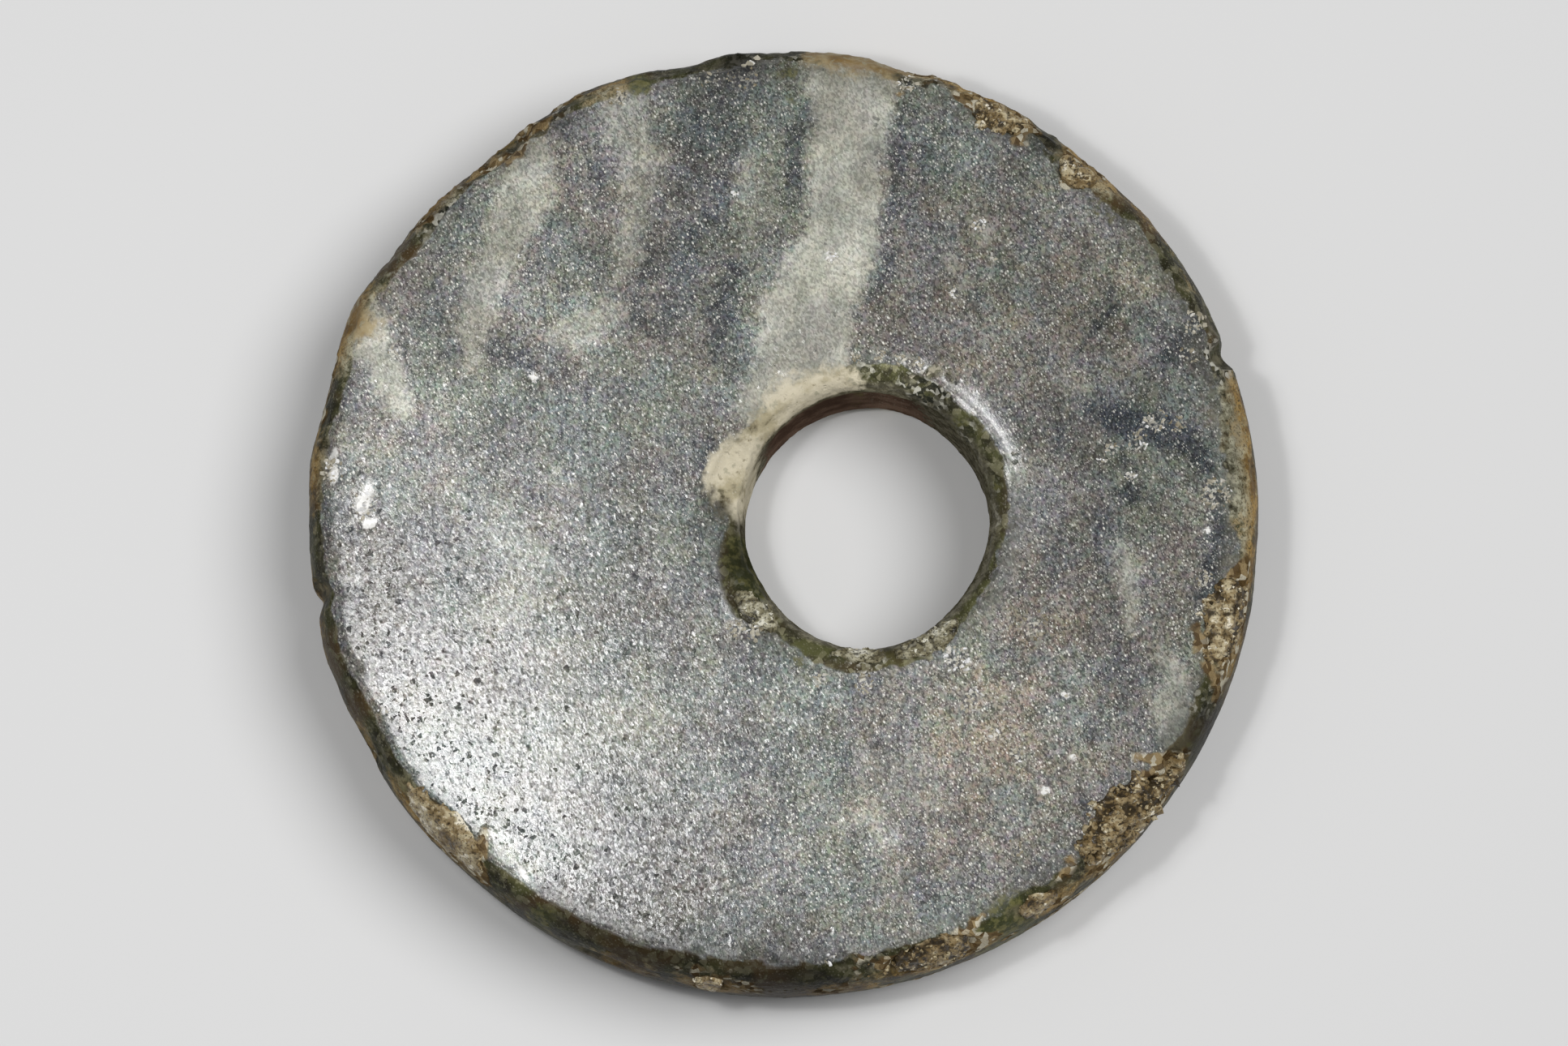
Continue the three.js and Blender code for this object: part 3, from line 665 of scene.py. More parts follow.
class Stone:
    """The stone as a grid of points, with masks that say what the stone is like at each of them and where
    painted light and shade go on it.
    """

    def __init__(self):
        self.points, self.from_wall, self.from_crest = stone_grid()
        self.base = self.points.copy()
        x, y, z = np.moveaxis(self.base, -1, 0)
        self.rim_bearing = np.arctan2(y, x)
        self.mouth_bearing = np.arctan2(y - FRONT_BORE[1], x - FRONT_BORE[0])
        self.front = z > CREST
        self.on_rim = np.abs(self.from_crest) < RIM_LIMIT
        self.on_mouth = self.from_wall < MOUTH_LIMIT
        self.wear_lip()
        self.break_edges()
        self.mark_edges()
        self.raise_relief()

    def wear_lip(self):
        """Rounds the lip of the bore's front mouth, most of all where it is bright."""
        past_lip = self.from_wall - MOUTH_TOP
        middle, half_width = BRIGHT_LIP
        self.lip = smoothstep(half_width + 20, half_width, np.abs(turn_from(self.mouth_bearing, middle)))
        near = self.front & (self.from_wall < LIP_LIMIT)
        fade = smoothstep(0.3, 0.9, self.from_wall / MOUTH_TOP)
        fade = fade * (1 - np.clip(past_lip / LIP_WIDTH, 0, 1)) ** 2
        self.points[..., 2] -= np.where(near, LIP_WEAR * (0.35 + 0.65 * self.lip) * fade, 0)
        self.shine = np.where(near, self.lip * np.exp(-(((past_lip + 0.05) / 0.4) ** 2)), 0)

    def break_edges(self):
        """Cuts the chips, then nicks: most along the front edge, smaller where the rim is worn smooth."""
        scar = np.zeros(self.front.shape)
        rough = 0.03 * fractal(self.base, 2.4, 3, 5) + 0.02 * fractal(self.base, 7.0, 2, 9)
        for edge, table in (("rim", RIM_CHIPS), ("mouth", MOUTH_CHIPS)):
            for bearing, climb, *shape in table:
                cut = carve(self.points, spot(edge, bearing, climb), *shape, CHIP_SOFTNESS, rough)
                scar = np.maximum(scar, cut)
        for _ in range(RIM_NICKS):
            bearing = rng.uniform(0, 360)
            climb = rng.choice([rng.normal(62, 16), rng.uniform(-75, 60)], p=[0.6, 0.4])
            smooth_part = bell(math.radians(bearing), *FEW_NICKS)
            size = 0.22 + 0.6 * rng.random() ** 2 * (1 - 0.6 * smooth_part)
            place = spot("rim", bearing, max(min(climb, 84), -80))
            scar = np.maximum(scar, nick(self.points, place, size, (0.07, 0.14), rough))
        for _ in range(MOUTH_NICKS):
            size = 0.2 + 0.5 * rng.random() ** 2
            bearing = rng.uniform(BRIGHT_LIP[0] + 30, BRIGHT_LIP[0] + 330)
            place = spot("mouth", bearing, rng.uniform(20, 82))
            scar = np.maximum(scar, nick(self.points, place, size, (0.05, 0.11), rough))
        self.scar = scar

    def patches(self, rim_table, mouth_table):
        rim = zone(self.rim_bearing, 90 * self.from_crest / RIM_TOP, rim_table)
        mouth = zone(self.mouth_bearing, 90 * self.from_wall / MOUTH_TOP, mouth_table)
        return rim * self.on_rim + mouth * self.on_mouth

    def mark_edges(self):
        """Finds the worn bands of the edges, with ragged borders, and what lies on them; also the painted
        shade where the polish bends over, and the patches of painted highlight.
        """
        base = self.base
        self.calm = bell(self.rim_bearing, *SMOOTH_RIM)
        ragged = 0.22 * fractal(base, 0.9, 3, 71) + 0.12 * fractal(base, 4.0, 2, 75)
        ragged = ragged * (1 - 0.75 * self.calm)
        past = np.abs(self.from_crest) + ragged - band(self.rim_bearing, RIM_REACH, RIM_BAND)
        rim_worn = smoothstep(0.14, -0.14, past)
        past = np.maximum(self.from_wall, 0) + 0.7 * ragged
        past = past - band(self.mouth_bearing, MOUTH_REACH, MOUTH_BAND)
        fade = band(self.mouth_bearing, MOUTH_SOFTNESS, MOUTH_FADE)
        self.edge = np.maximum(rim_worn, smoothstep(fade, -fade, past))
        self.skin = self.patches(RIM_SKIN, MOUTH_SKIN)
        self.frost = self.patches(RIM_FROST, MOUTH_FROST)
        soil = self.patches(RIM_SOIL, MOUTH_SOIL)
        crumbs = 0.45 * fractal(base, 0.9, 3, 21) + 0.2 * fractal(base, 3.0, 2, 23)
        self.soil = smoothstep(0.02, 0.12, soil) * smoothstep(0.35, 0.8, soil + crumbs)
        # painted shade: the polish is darkened where it bends over towards the rim, most on the right, and
        # round the mouth away from its bright lip; it is also duller there
        at_rim = smoothstep(0.5, -0.1, self.from_crest - RIM_TOP) * (0.6 + 0.4 * np.cos(self.rim_bearing))
        at_mouth = (1 - self.lip) * smoothstep(0.45, -0.1, self.from_wall - MOUTH_TOP)
        self.bend = np.where(self.front, np.maximum(at_rim, at_mouth), 0)
        middle, half_width = BROWN_WALL
        away = np.abs(turn_from(self.mouth_bearing, middle))
        self.brown = smoothstep(half_width + 18, half_width - 16, away)
        self.glint_patch = ellipses(base, GLINT_PATCHES) + 0.35 * fractal(base, 4.0, 3, 91)

    def raise_relief(self):
        """Raises the crumbly relief of the edges and what lies on them, and finds the low places between its
        grains, where painted shade goes. The polish only rolls a little.
        """
        base, edge = self.base, self.edge
        rugged = np.maximum(bell(self.rim_bearing, 66, 34), bell(self.rim_bearing, 130, 24))
        rugged = np.where(self.on_rim, rugged, 0.3)
        grains, _ = crumbly(base, 41)
        knobs, _ = crystals(base, 1.5, 61)
        lift = (0.012 + 0.02 * rugged) * (1 - 0.5 * self.calm) * edge * fractal(base, 1.1, 3, 31)
        lift += edge * rugged * 0.1 * np.maximum(0.5 - knobs, 0)
        lift += (0.014 + 0.018 * rugged) * (1 - 0.6 * self.calm) * edge * grains
        lift += self.soil * (0.012 + 0.028 * grains)
        lift += edge * (0.02 * self.skin + 0.07 * self.frost) * grains
        lift += 0.005 * (1 - edge) * (1 - self.shine) * fractal(base, 0.3, 2, 47)
        lift -= 0.02 * smoothstep(0, 0.5, self.glint_patch)
        lift = np.where(base[..., 2] < 0.02, np.minimum(lift, 0), lift)
        self.points = self.points + grid_normals(self.points) * lift[..., None]
        self.points[..., 2] = np.maximum(self.points[..., 2], 0.0)
        # painted shade: the low places between grains, darkened in the soil's colour
        self.hollow_shade = np.clip(0.5 - 0.5 * grains, 0, 1)

    def masks(self):
        """What the material reads, for each point."""
        base = self.base
        pale, pale_strength = strips(base, PALE_VEINS)
        dark, dark_strength = strips(base, DARK_STREAKS)
        altered, _ = strips(base, ALTERED)
        as_they_are = ("edge", "skin", "soil", "bend", "shine", "glint_patch", "hollow_shade", "brown")
        return {name: getattr(self, name) for name in as_they_are} | {
            "rim_level": np.where(self.on_rim, self.from_crest / RIM_TOP, FAR_OFF),
            "mouth_level": np.where(self.on_mouth, self.from_wall / MOUTH_TOP, FAR_OFF),
            "frost": self.frost * self.front,
            "scuff": scuff_amount(base),
            "scar": np.clip(self.scar / 0.1, 0, 1),
            "pale": pale,
            "pale_strength": pale_strength,
            "dark": dark,
            "dark_strength": dark_strength,
            "altered": altered - 1.2 * self.brown * smoothstep(0.5, 0.0, self.from_wall),
            "warm": spots(base, WARM_SPOTS),
            "green": spots(base, GREEN_SPOTS),
            "pitted": spots(base, PITTED),
            "tone": np.maximum(1 + spots(base, TONE_AND_PAINTED_LIGHT_SPOTS), 0.15),
        }

    def mesh(self):
        rows, columns = self.edge.shape
        v, u = np.meshgrid(np.arange(rows), np.arange(columns), indexing="ij")
        down, beside = (v + 1) % rows, (u + 1) % columns
        faces = [v * columns + u, down * columns + u, down * columns + beside, v * columns + beside]
        faces = np.stack(faces, axis=-1).reshape(-1, 4)
        obj = add_mesh("stone", self.points.reshape(-1, 3), faces.tolist(), self.masks())
        weathered = self.edge.ravel()[faces].mean(axis=1) > 0.6
        on_wall = self.from_wall.ravel()[faces].max(axis=1) < 0.3 * MOUTH_TOP
        kind = np.where(on_wall, WALL, np.where(weathered, WEATHERED, POLISHED))
        obj.data.polygons.foreach_set("material_index", kind.astype(np.int32))
        return obj


# Shards and crust

def unit_ball(detail):
    shape = bmesh.new()
    bmesh.ops.create_icosphere(shape, subdivisions=detail, radius=1.0)
    points = np.array([v.co[:] for v in shape.verts])
    faces = [tuple(v.index for v in f.verts) for f in shape.faces]
    shape.free()
    return points, faces


SHARD_POINTS, SHARD_FACES = unit_ball(1)


def shard(middle, size, flat):
    """An angular crystal: the points of a crooked ball, turned at random."""
    shape = SHARD_POINTS * np.array([1.0, rng.uniform(0.5, 0.9), flat])
    shape = shape * (1 + 0.22 * rng.standard_normal((len(shape), 1)))
    spin = Matrix.Rotation(rng.uniform(0, 2 * math.pi), 3, Vector(rng.standard_normal(3)).normalized())
    return shape @ np.array(spin) * size + middle


class Heap:
    """Gathers many small bodies into one mesh, with a shade for each."""

    def __init__(self):
        self.points, self.faces, self.shades, self.count = [], [], [], 0

    def add(self, points, faces, shade):
        self.points.append(points)
        self.faces += [tuple(self.count + i for i in face) for face in faces]
        self.shades.append(np.broadcast_to(shade, len(points)))
        self.count += len(points)

    def mesh(self, name, extra=()):
        values = {"shade": np.concatenate(self.shades)}
        values.update(extra)
        return add_mesh(name, np.concatenate(self.points), self.faces, values, False)


def slab_faces(rows, columns):
    """Faces of a closed slab: a grid of points, the same grid below it, and walls along their borders."""
    count = rows * columns
    last = count - columns
    v, u = np.meshgrid(np.arange(rows - 1), np.arange(columns - 1), indexing="ij")
    corner = (v * columns + u).ravel()
    quads = np.stack([corner, corner + columns, corner + columns + 1, corner + 1], axis=-1)
    ring = [*range(columns), *range(2 * columns - 1, count, columns)]
    ring += [*range(count - 2, last - 1, -1), *range(last - columns, 0, -columns)]
    walls = [(a, b, b + count, a + count) for a, b in zip(ring, ring[1:] + ring[:1])]
    return quads.tolist() + (quads[:, ::-1] + count).tolist() + walls


def make_crust(name, edge, bearing, climb, length, breadth, depth, rise, shards, tone, coarse):
    """A body that fills its chip about flush with the stone, ragged in outline, with crystals on top."""
    rows, columns = int(breadth / CRUST_SPACING), int(length / CRUST_SPACING)
    radius = RADIUS if edge == "rim" else BORE_RADIUS + MOUTH_ROUND / 2
    spread = np.linspace(0.66, -0.66, rows) * breadth, np.linspace(-0.66, 0.66, columns) * length
    across, along = np.meshgrid(*spread, indexing="ij")
    if edge == "mouth":
        across = -across
    base = surface(edge, place_of(edge, climb) + across, math.radians(bearing) + along / radius)
    normal = grid_normals(base, False)
    seed = 100 + 7 * len(name)
    outline = np.hypot(2 * along / length, 2 * across / breadth)
    outline = outline + 0.34 * fractal(base, 1.3, 3, seed) + 0.16 * fractal(base, 4.0, 2, seed + 5)
    inside = smoothstep(1.14, 0.9, outline)
    relief, number = crumbly(base, seed + 9)
    height = rise * inside + coarse * 0.09 * (relief - 0.2) * inside - (depth + 0.12) * (1 - inside)
    top = base + normal * height[..., None]
    bottom = base - normal * (depth + 0.2)
    faces = slab_faces(rows, columns)

    heap = Heap()
    shade = tone + 0.8 * (number - 0.5) + 0.35 * fractal(base, 1.6, 3, seed + 20)
    heap.add(np.concatenate([top.reshape(-1, 3), bottom.reshape(-1, 3)]), faces, np.tile(shade.ravel(), 2))
    # painted shade: the low places between the grains, darkened in the crust's colour
    hollow_shade = np.tile(np.clip(min(coarse, 1) * (0.6 - 0.8 * relief), 0, 1).ravel(), 2)
    places = np.argwhere(inside > 0.6)
    for _ in range(shards):
        v, u = places[rng.integers(len(places))]
        size = coarse * rng.choice(SHARD_SIZES, p=[0.35, 0.35, 0.2, 0.1])
        body = shard(top[v, u] - normal[v, u] * size * 0.4, size, 0.55)
        heap.add(body, SHARD_FACES, np.clip(tone + rng.choice(SHARD_TONES, p=[0.2, 0.4, 0.3, 0.1]), 0, 1.2))
    hollow_shade = np.concatenate([hollow_shade, np.zeros(heap.count - len(hollow_shade))])
    obj = heap.mesh(name + "_fill", {"hollow_shade": hollow_shade})
    obj.data.polygons.foreach_set("use_smooth", np.arange(len(heap.faces)) < len(faces))
    return obj


def make_flecks():
    """Pale crystals laid bare where the polish is broken; the whitest of them are painted glints."""
    heap = Heap()
    for x, y, radius, count, whiteness in SCUFFS:
        for _ in range(count):
            away, turn = radius * math.sqrt(rng.random()), rng.uniform(0, 2 * math.pi)
            at = np.array([x + away * math.cos(turn), y + away * math.sin(turn), 0.0])
            far = math.hypot(at[0], at[1])
            if far > RADIUS - FRONT_ROUND:
                bearing = math.atan2(at[1], at[0])
                inset = RADIUS * (1 + bumps(bearing, WEAR)) - far
                along = np.interp(inset, RIM_INSET[CREST_STEP:], RIM_ALONG[CREST_STEP:])
                at = rim_points(along, bearing)
            else:
                at[2] = crown_height(at)
            size = rng.uniform(0.03, 0.1) * (1 + radius)
            shade = np.clip(whiteness + rng.normal(0, 0.25), 0, 1.2)
            heap.add(shard(at - np.array([0, 0, size * 0.35]), size, 0.45), SHARD_FACES, shade)
    return heap.mesh("crystal_flecks")


# Materials

class Shader:
    """A material's nodes, with a short call for each kind that is used here."""

    def __init__(self, name):
        self.material = bpy.data.materials.new(name)
        self.material.use_nodes = True
        self.tree = self.material.node_tree
        self.surface = self.tree.nodes["Principled BSDF"]

    def put(self, socket, value):
        if isinstance(value, bpy.types.NodeSocket):
            self.tree.links.new(value, socket)
        elif isinstance(value, tuple) and len(value) == 3 and socket.type == "RGBA":
            socket.default_value = (*value, 1)
        else:
            socket.default_value = value

    def dress(self, **values):
        """Sets inputs of the surface, named with _ for each space, and returns the material."""
        for key, value in values.items():
            self.put(self.surface.inputs[key.replace("_", " ")], value)
        return self.material

    def node(self, kind, values=(), **settings):
        new = self.tree.nodes.new(kind)
        for key, value in settings.items():
            setattr(new, key, value)
        for key, value in dict(values).items():
            self.put(new.inputs[key], value)
        return new

    def attribute(self, name):
        return self.node("ShaderNodeAttribute", attribute_name=name).outputs["Fac"]

    def math(self, operation, a, b=0.0, c=0.0):
        return self.node("ShaderNodeMath", {0: a, 1: b, 2: c}, operation=operation).outputs[0]

    def times(self, a, b):
        return self.math("MULTIPLY", a, b)

    def rest(self, a):
        """What is left of 1."""
        return self.math("SUBTRACT", 1.0, a)

    def blend(self, *terms):
        """A sum of values, each with its weight."""
        total = self.times(*terms[0])
        for value, weight in terms[1:]:
            total = self.math("MULTIPLY_ADD", value, weight, total)
        return total

    def vector(self, operation, a, b=(0, 0, 0), scale=1.0):
        values = {0: a, "Scale": scale} if operation == "SCALE" else {0: a, 1: b}
        return self.node("ShaderNodeVectorMath", values, operation=operation).outputs[0]

    def step(self, value, low, high, bottom=0.0, top=1.0):
        values = {"Value": value, "From Min": low, "From Max": high, "To Min": bottom, "To Max": top}
        return self.node("ShaderNodeMapRange", values, interpolation_type="SMOOTHSTEP").outputs[0]

    def mix(self, share, a, b, blend="MIX"):
        new = self.node("ShaderNodeMix", data_type="RGBA", blend_type=blend)
        for socket, value in ((new.inputs[0], share), (new.inputs[6], a), (new.inputs[7], b)):
            self.put(socket, value)
        return new.outputs[2]

    def layers(self, colour, *rows):
        """Lays colours over one another, each where its mask goes from low to high, up to its share."""
        for mask, low, high, share, new in rows:
            colour = self.mix(self.step(mask, low, high, 0, share), colour, new)
        return colour

    def shaded(self, share, colour, by):
        return self.mix(share, colour, by, "MULTIPLY")

    def grey(self, value):
        return self.node("ShaderNodeCombineColor", {0: value, 1: value, 2: value}).outputs[0]

    def parts(self, colour):
        return self.node("ShaderNodeSeparateColor", {0: colour}).outputs

    def places(self):
        """Places on the object in millimetres."""
        return self.vector("SCALE", self.node("ShaderNodeTexCoord").outputs["Object"], scale=1 / MM)

    def noise(self, where, scale, detail=2.0, rough=0.5, twist=0.0):
        values = {"Vector": where, "Scale": scale, "Detail": detail, "Roughness": rough, "Distortion": twist}
        return self.node("ShaderNodeTexNoise", values).outputs["Fac"]

    def cells(self, where, scale):
        """Distance to the nearest cell's middle and the cell's random colour."""
        new = self.node("ShaderNodeTexVoronoi", {"Vector": where, "Scale": scale}).outputs
        return new["Distance"], new["Color"]

    def chances(self, where, scale):
        """Three random numbers for each cell."""
        return self.parts(self.cells(where, scale)[1])

    def dots(self, where, scale, start, least, most, inner):
        """Round spots of random size, and their cells' random numbers. Up to start, the least size holds."""
        far, colour = self.cells(where, scale)
        chance = self.parts(colour)
        size = self.step(chance[0], start, 1, least, most)
        return self.step(self.math("DIVIDE", far, size), 1.0, inner), chance

    def specks(self, where, scale, least, most):
        """Fine crystals: spots of random size and brightness."""
        shape, chance = self.dots(where, scale, 0, least, most, 0.45)
        return self.times(shape, self.step(chance[1], 0.1, 1.0))

    def stretched(self, where, scale, turn, kind="POINT"):
        values = {"Vector": where, "Rotation": (0, 0, turn), "Scale": scale}
        return self.node("ShaderNodeMapping", values, vector_type=kind).outputs[0]

    def facets(self, where, scale, tilt, wild=0.0):
        """The surface's normal, tipped a little for each crystal, and farther for about one in four."""
        chance = self.cells(where, scale)[1]
        lean = self.vector("SUBTRACT", chance, (0.5, 0.5, 0.5))
        far = self.step(self.parts(chance)[2], 0.7, 0.95, 1.0, 1.0 + wild)
        lean = self.vector("SCALE", lean, scale=self.times(far, tilt))
        normal = self.node("ShaderNodeNewGeometry").outputs["Normal"]
        return self.vector("NORMALIZE", self.vector("ADD", normal, lean))

    def bump(self, height, distance, strength=1.0, under=None):
        values = {"Height": height, "Distance": distance * MM, "Strength": strength}
        if under is not None:
            values["Normal"] = under
        return self.node("ShaderNodeBump", values).outputs[0]


class JadeShader(Shader):
    """The stone's nodes, with the noises that all its colours share."""

    def __init__(self, name):
        super().__init__(name)
        self.where = self.places()
        self.cloud = self.noise(self.where, 1.0, 6, 0.62)
        self.ragged = self.noise(self.where, 3.4, 5, 0.62)
        self.grained = self.stretched(self.where, GRAIN_STRETCH, GRAIN_TURN, "TEXTURE")
        self.fine = self.noise(self.grained, 14.0, 2, 0.6)
        self.crystal = self.chances(self.grained, 15.0)
        hue = {"Vector": self.where, "Scale": 5.0, "Detail": 1.0}
        self.hue = self.node("ShaderNodeTexNoise", hue).outputs["Color"]

    def patch(self, name, cloudy, ragged, low, high, top=1.0):
        """Where a mask of the mesh holds. Clouds and grain, by their weights, make its border ragged."""
        value = self.blend((self.attribute(name), 1.0), (self.cloud, cloudy), (self.ragged, ragged))
        return self.step(value, low, high, 0, top)


def body_colour(s, vein):
    """The body of the stone: purple grey and green grey clouds, dark streaks, paler drifts and veins."""
    streaky = s.noise(s.stretched(s.where, (1.6, 0.4, 0.7), 0.12), 1.0, 6, 0.62, 0.5)
    colour = s.layers(
        (0.142, 0.137, 0.13),
        (s.noise(s.where, 0.3, 3, 0.55), 0.42, 0.58, 1, (0.131, 0.145, 0.126)),
        (s.cloud, 0.5, 0.66, 0.6, (0.162, 0.16, 0.138)),
        (streaky, 0.5, 0.68, 0.7, (0.068, 0.074, 0.08)),
        (streaky, 0.42, 0.28, 0.5, (0.17, 0.18, 0.15)),
    )
    warm = s.times(s.attribute("warm"), s.step(s.cloud, 0.4, 0.6, 0.15, 0.8))
    colour = s.mix(warm, colour, (0.19, 0.166, 0.135))
    dark = s.times(s.patch("dark", 1.6, 1.2, 1.2, 1.65), s.attribute("dark_strength"))
    colour = s.mix(dark, colour, (0.045, 0.052, 0.06))
    veined = s.layers(
        (0.285, 0.29, 0.245),
        (s.cloud, 0.38, 0.62, 1, (0.365, 0.36, 0.31)),
        (streaky, 0.5, 0.7, 0.6, (0.33, 0.305, 0.275)),
        (s.ragged, 0.38, 0.28, 0.35, (0.19, 0.196, 0.16)),
    )
    return s.mix(vein, colour, veined)


def grain_colour(s, colour, vein, speck_glint):
    """Sugary grain of the polish: crystals of every brightness, partly painted glints of the grain's facets,
    with a slight play of hues; the pale specks are pale crystals and painted glints.
    """
    grain = s.blend((s.crystal[0], 0.75), (s.fine, 0.9))
    colour = s.shaded(s.rest(s.times(vein, 0.5)), colour, s.grey(s.step(grain, 0.45, 1.2, 0.46, 1.62)))
    drift = s.step(s.noise(s.where, 0.55, 4, 0.6), 0.36, 0.64, 0.78, 1.22)
    colour = s.shaded(1.0, colour, s.grey(drift))
    coloured = s.rest(s.times(vein, 0.7))
    tint = s.vector("ADD", s.vector("SCALE", s.hue, scale=0.4), (0.8, 0.8, 0.8))
    colour = s.shaded(coloured, colour, tint)
    warmth = s.step(s.noise(s.where, 0.8, 3, 0.6), 0.38, 0.62)
    colour = s.shaded(coloured, colour, s.mix(warmth, (1.04, 1.0, 0.925), (0.965, 1.0, 1.075)))
    return s.mix(speck_glint, colour, (0.71, 0.7, 0.64))


def pits_of_polish(s):
    """Small pits: a few all over the stone, and crowds of them where the mesh says so."""
    where = s.vector("ADD", s.where, s.vector("SCALE", s.hue, scale=0.3))
    few, chance = s.dots(where, 3.2, 0.35, 0.02, 0.33, 0.4)
    few = s.times(few, s.step(s.math("ADD", chance[1], s.cloud), 0.6, 1.1))
    many, chance = s.dots(where, 5.0, 0.3, 0.02, 0.4, 0.4)
    crowd = s.blend((s.attribute("pitted"), 0.7), (chance[1], 0.5), (s.cloud, 0.6))
    return s.math("MAXIMUM", few, s.times(many, s.step(crowd, 0.75, 1.1)))


def edge_colour(s, vein, speck_glint):
    """Dark olive stone with green and brown clouds and lighter grains; brown inside the bore."""
    mouth = s.attribute("mouth_level")
    rim_share = s.step(mouth, 3.0, 2.0, 0.75, 0.2)
    olive = s.layers(
        (0.018, 0.017, 0.009),
        (s.cloud, 0.42, 0.6, 1, (0.044, 0.045, 0.018)),
        (s.noise(s.where, 0.45, 2), 0.48, 0.62, rim_share, (0.075, 0.048, 0.022)),
        (s.ragged, 0.54, 0.68, 0.75, (0.1, 0.098, 0.052)),
        (s.chances(s.where, 4.5)[0], 0.76, 0.95, 0.45, (0.17, 0.16, 0.1)),
    )
    olive = s.mix(s.times(vein, 0.6), olive, (0.21, 0.18, 0.11))
    olive = s.vector("SCALE", olive, scale=s.step(mouth, 3.0, 2.0, 1, 1.7))
    wall = s.mix(s.step(s.ragged, 0.4, 0.6), (0.075, 0.068, 0.045), (0.2, 0.186, 0.135))
    brown = s.mix(s.step(s.cloud, 0.4, 0.6), (0.078, 0.048, 0.034), (0.155, 0.102, 0.074))
    above_wall = s.times(s.step(mouth, 0.62, 0.4), s.step(mouth, 0.0, 0.1, 0, 0.8))
    olive = s.mix(above_wall, olive, wall)
    wall = s.mix(s.patch("brown", 1.6, 0.9, 1.55, 1.95), wall, brown)
    olive = s.mix(s.step(mouth, 0.12, -0.02), olive, wall)
    frost, grain = s.patch("frost", 0, 0.9, 0.75, 1.15), s.chances(s.where, 6.5)[0]
    olive = s.mix(s.times(frost, s.step(grain, 0.5, 0.3, 0, 0.9)), olive, (0.016, 0.018, 0.013))
    olive = s.mix(s.times(frost, s.step(grain, 0.6, 0.88, 0, 0.9)), olive, (0.47, 0.46, 0.4))
    return s.mix(s.times(speck_glint, 0.5), olive, (0.42, 0.4, 0.31))


def skin_colour(s):
    """Tan and rusty skin, golden at the crest and grey green towards the polish."""
    crest = s.layers(
        (0.15, 0.085, 0.022),
        (s.cloud, 0.4, 0.6, 1, (0.36, 0.23, 0.07)),
        (s.ragged, 0.52, 0.66, 0.7, (0.42, 0.36, 0.2)),
    )
    inner = s.layers(
        (0.16, 0.158, 0.11),
        (s.ragged, 0.42, 0.6, 1, (0.38, 0.37, 0.275)),
        (s.cloud, 0.52, 0.64, 0.7, (0.33, 0.25, 0.13)),
    )
    return s.layers(
        crest,
        (s.blend((s.attribute("rim_level"), 1.0), (s.cloud, 0.7)), 0.95, 1.2, 0.95, inner),
        (s.fine, 0.48, 0.36, 0.75, (0.05, 0.034, 0.014)),
        (s.ragged, 0.4, 0.32, 0.85, (0.022, 0.019, 0.01)),
    )


def soil_colour(s):
    """Grains of soil, brown on the rim and greenish in the mouth, with painted shade in their hollows."""
    chance = s.chances(s.where, 5.0)
    brown = s.layers((0.09, 0.056, 0.022), (chance[0], 0.2, 0.9, 1, (0.29, 0.215, 0.11)))
    green = s.layers((0.05, 0.048, 0.026), (chance[0], 0.2, 0.9, 1, (0.22, 0.21, 0.14)))
    return s.layers(
        brown,
        (s.attribute("mouth_level"), 6.0, 4.0, 1, green),
        (chance[1], 0.72, 0.85, 1, (0.52, 0.48, 0.37)),
        (s.attribute("hollow_shade"), 0.4, 0.72, 0.9, (0.028, 0.02, 0.01)),
    )


def cream_colour(s, speck_glint):
    """Stone bleached to cream, rusty towards the rim."""
    from_axis = s.node("ShaderNodeVectorMath", {0: s.where}, operation="LENGTH").outputs["Value"]
    rust = s.layers((0.2, 0.13, 0.05), (s.cloud, 0.38, 0.62, 1, (0.32, 0.26, 0.15)))
    cream = s.layers(
        (0.4, 0.352, 0.233),
        (s.cloud, 0.36, 0.55, 1, (0.575, 0.522, 0.393)),
        (from_axis, 9.0, 12.0, 1, rust),
        (s.ragged, 0.56, 0.66, 0.6, (0.29, 0.28, 0.2)),
        (s.ragged, 0.4, 0.31, 0.55, (0.14, 0.115, 0.06)),
    )
    return s.mix(s.times(speck_glint, 0.5), cream, (0.72, 0.68, 0.57))


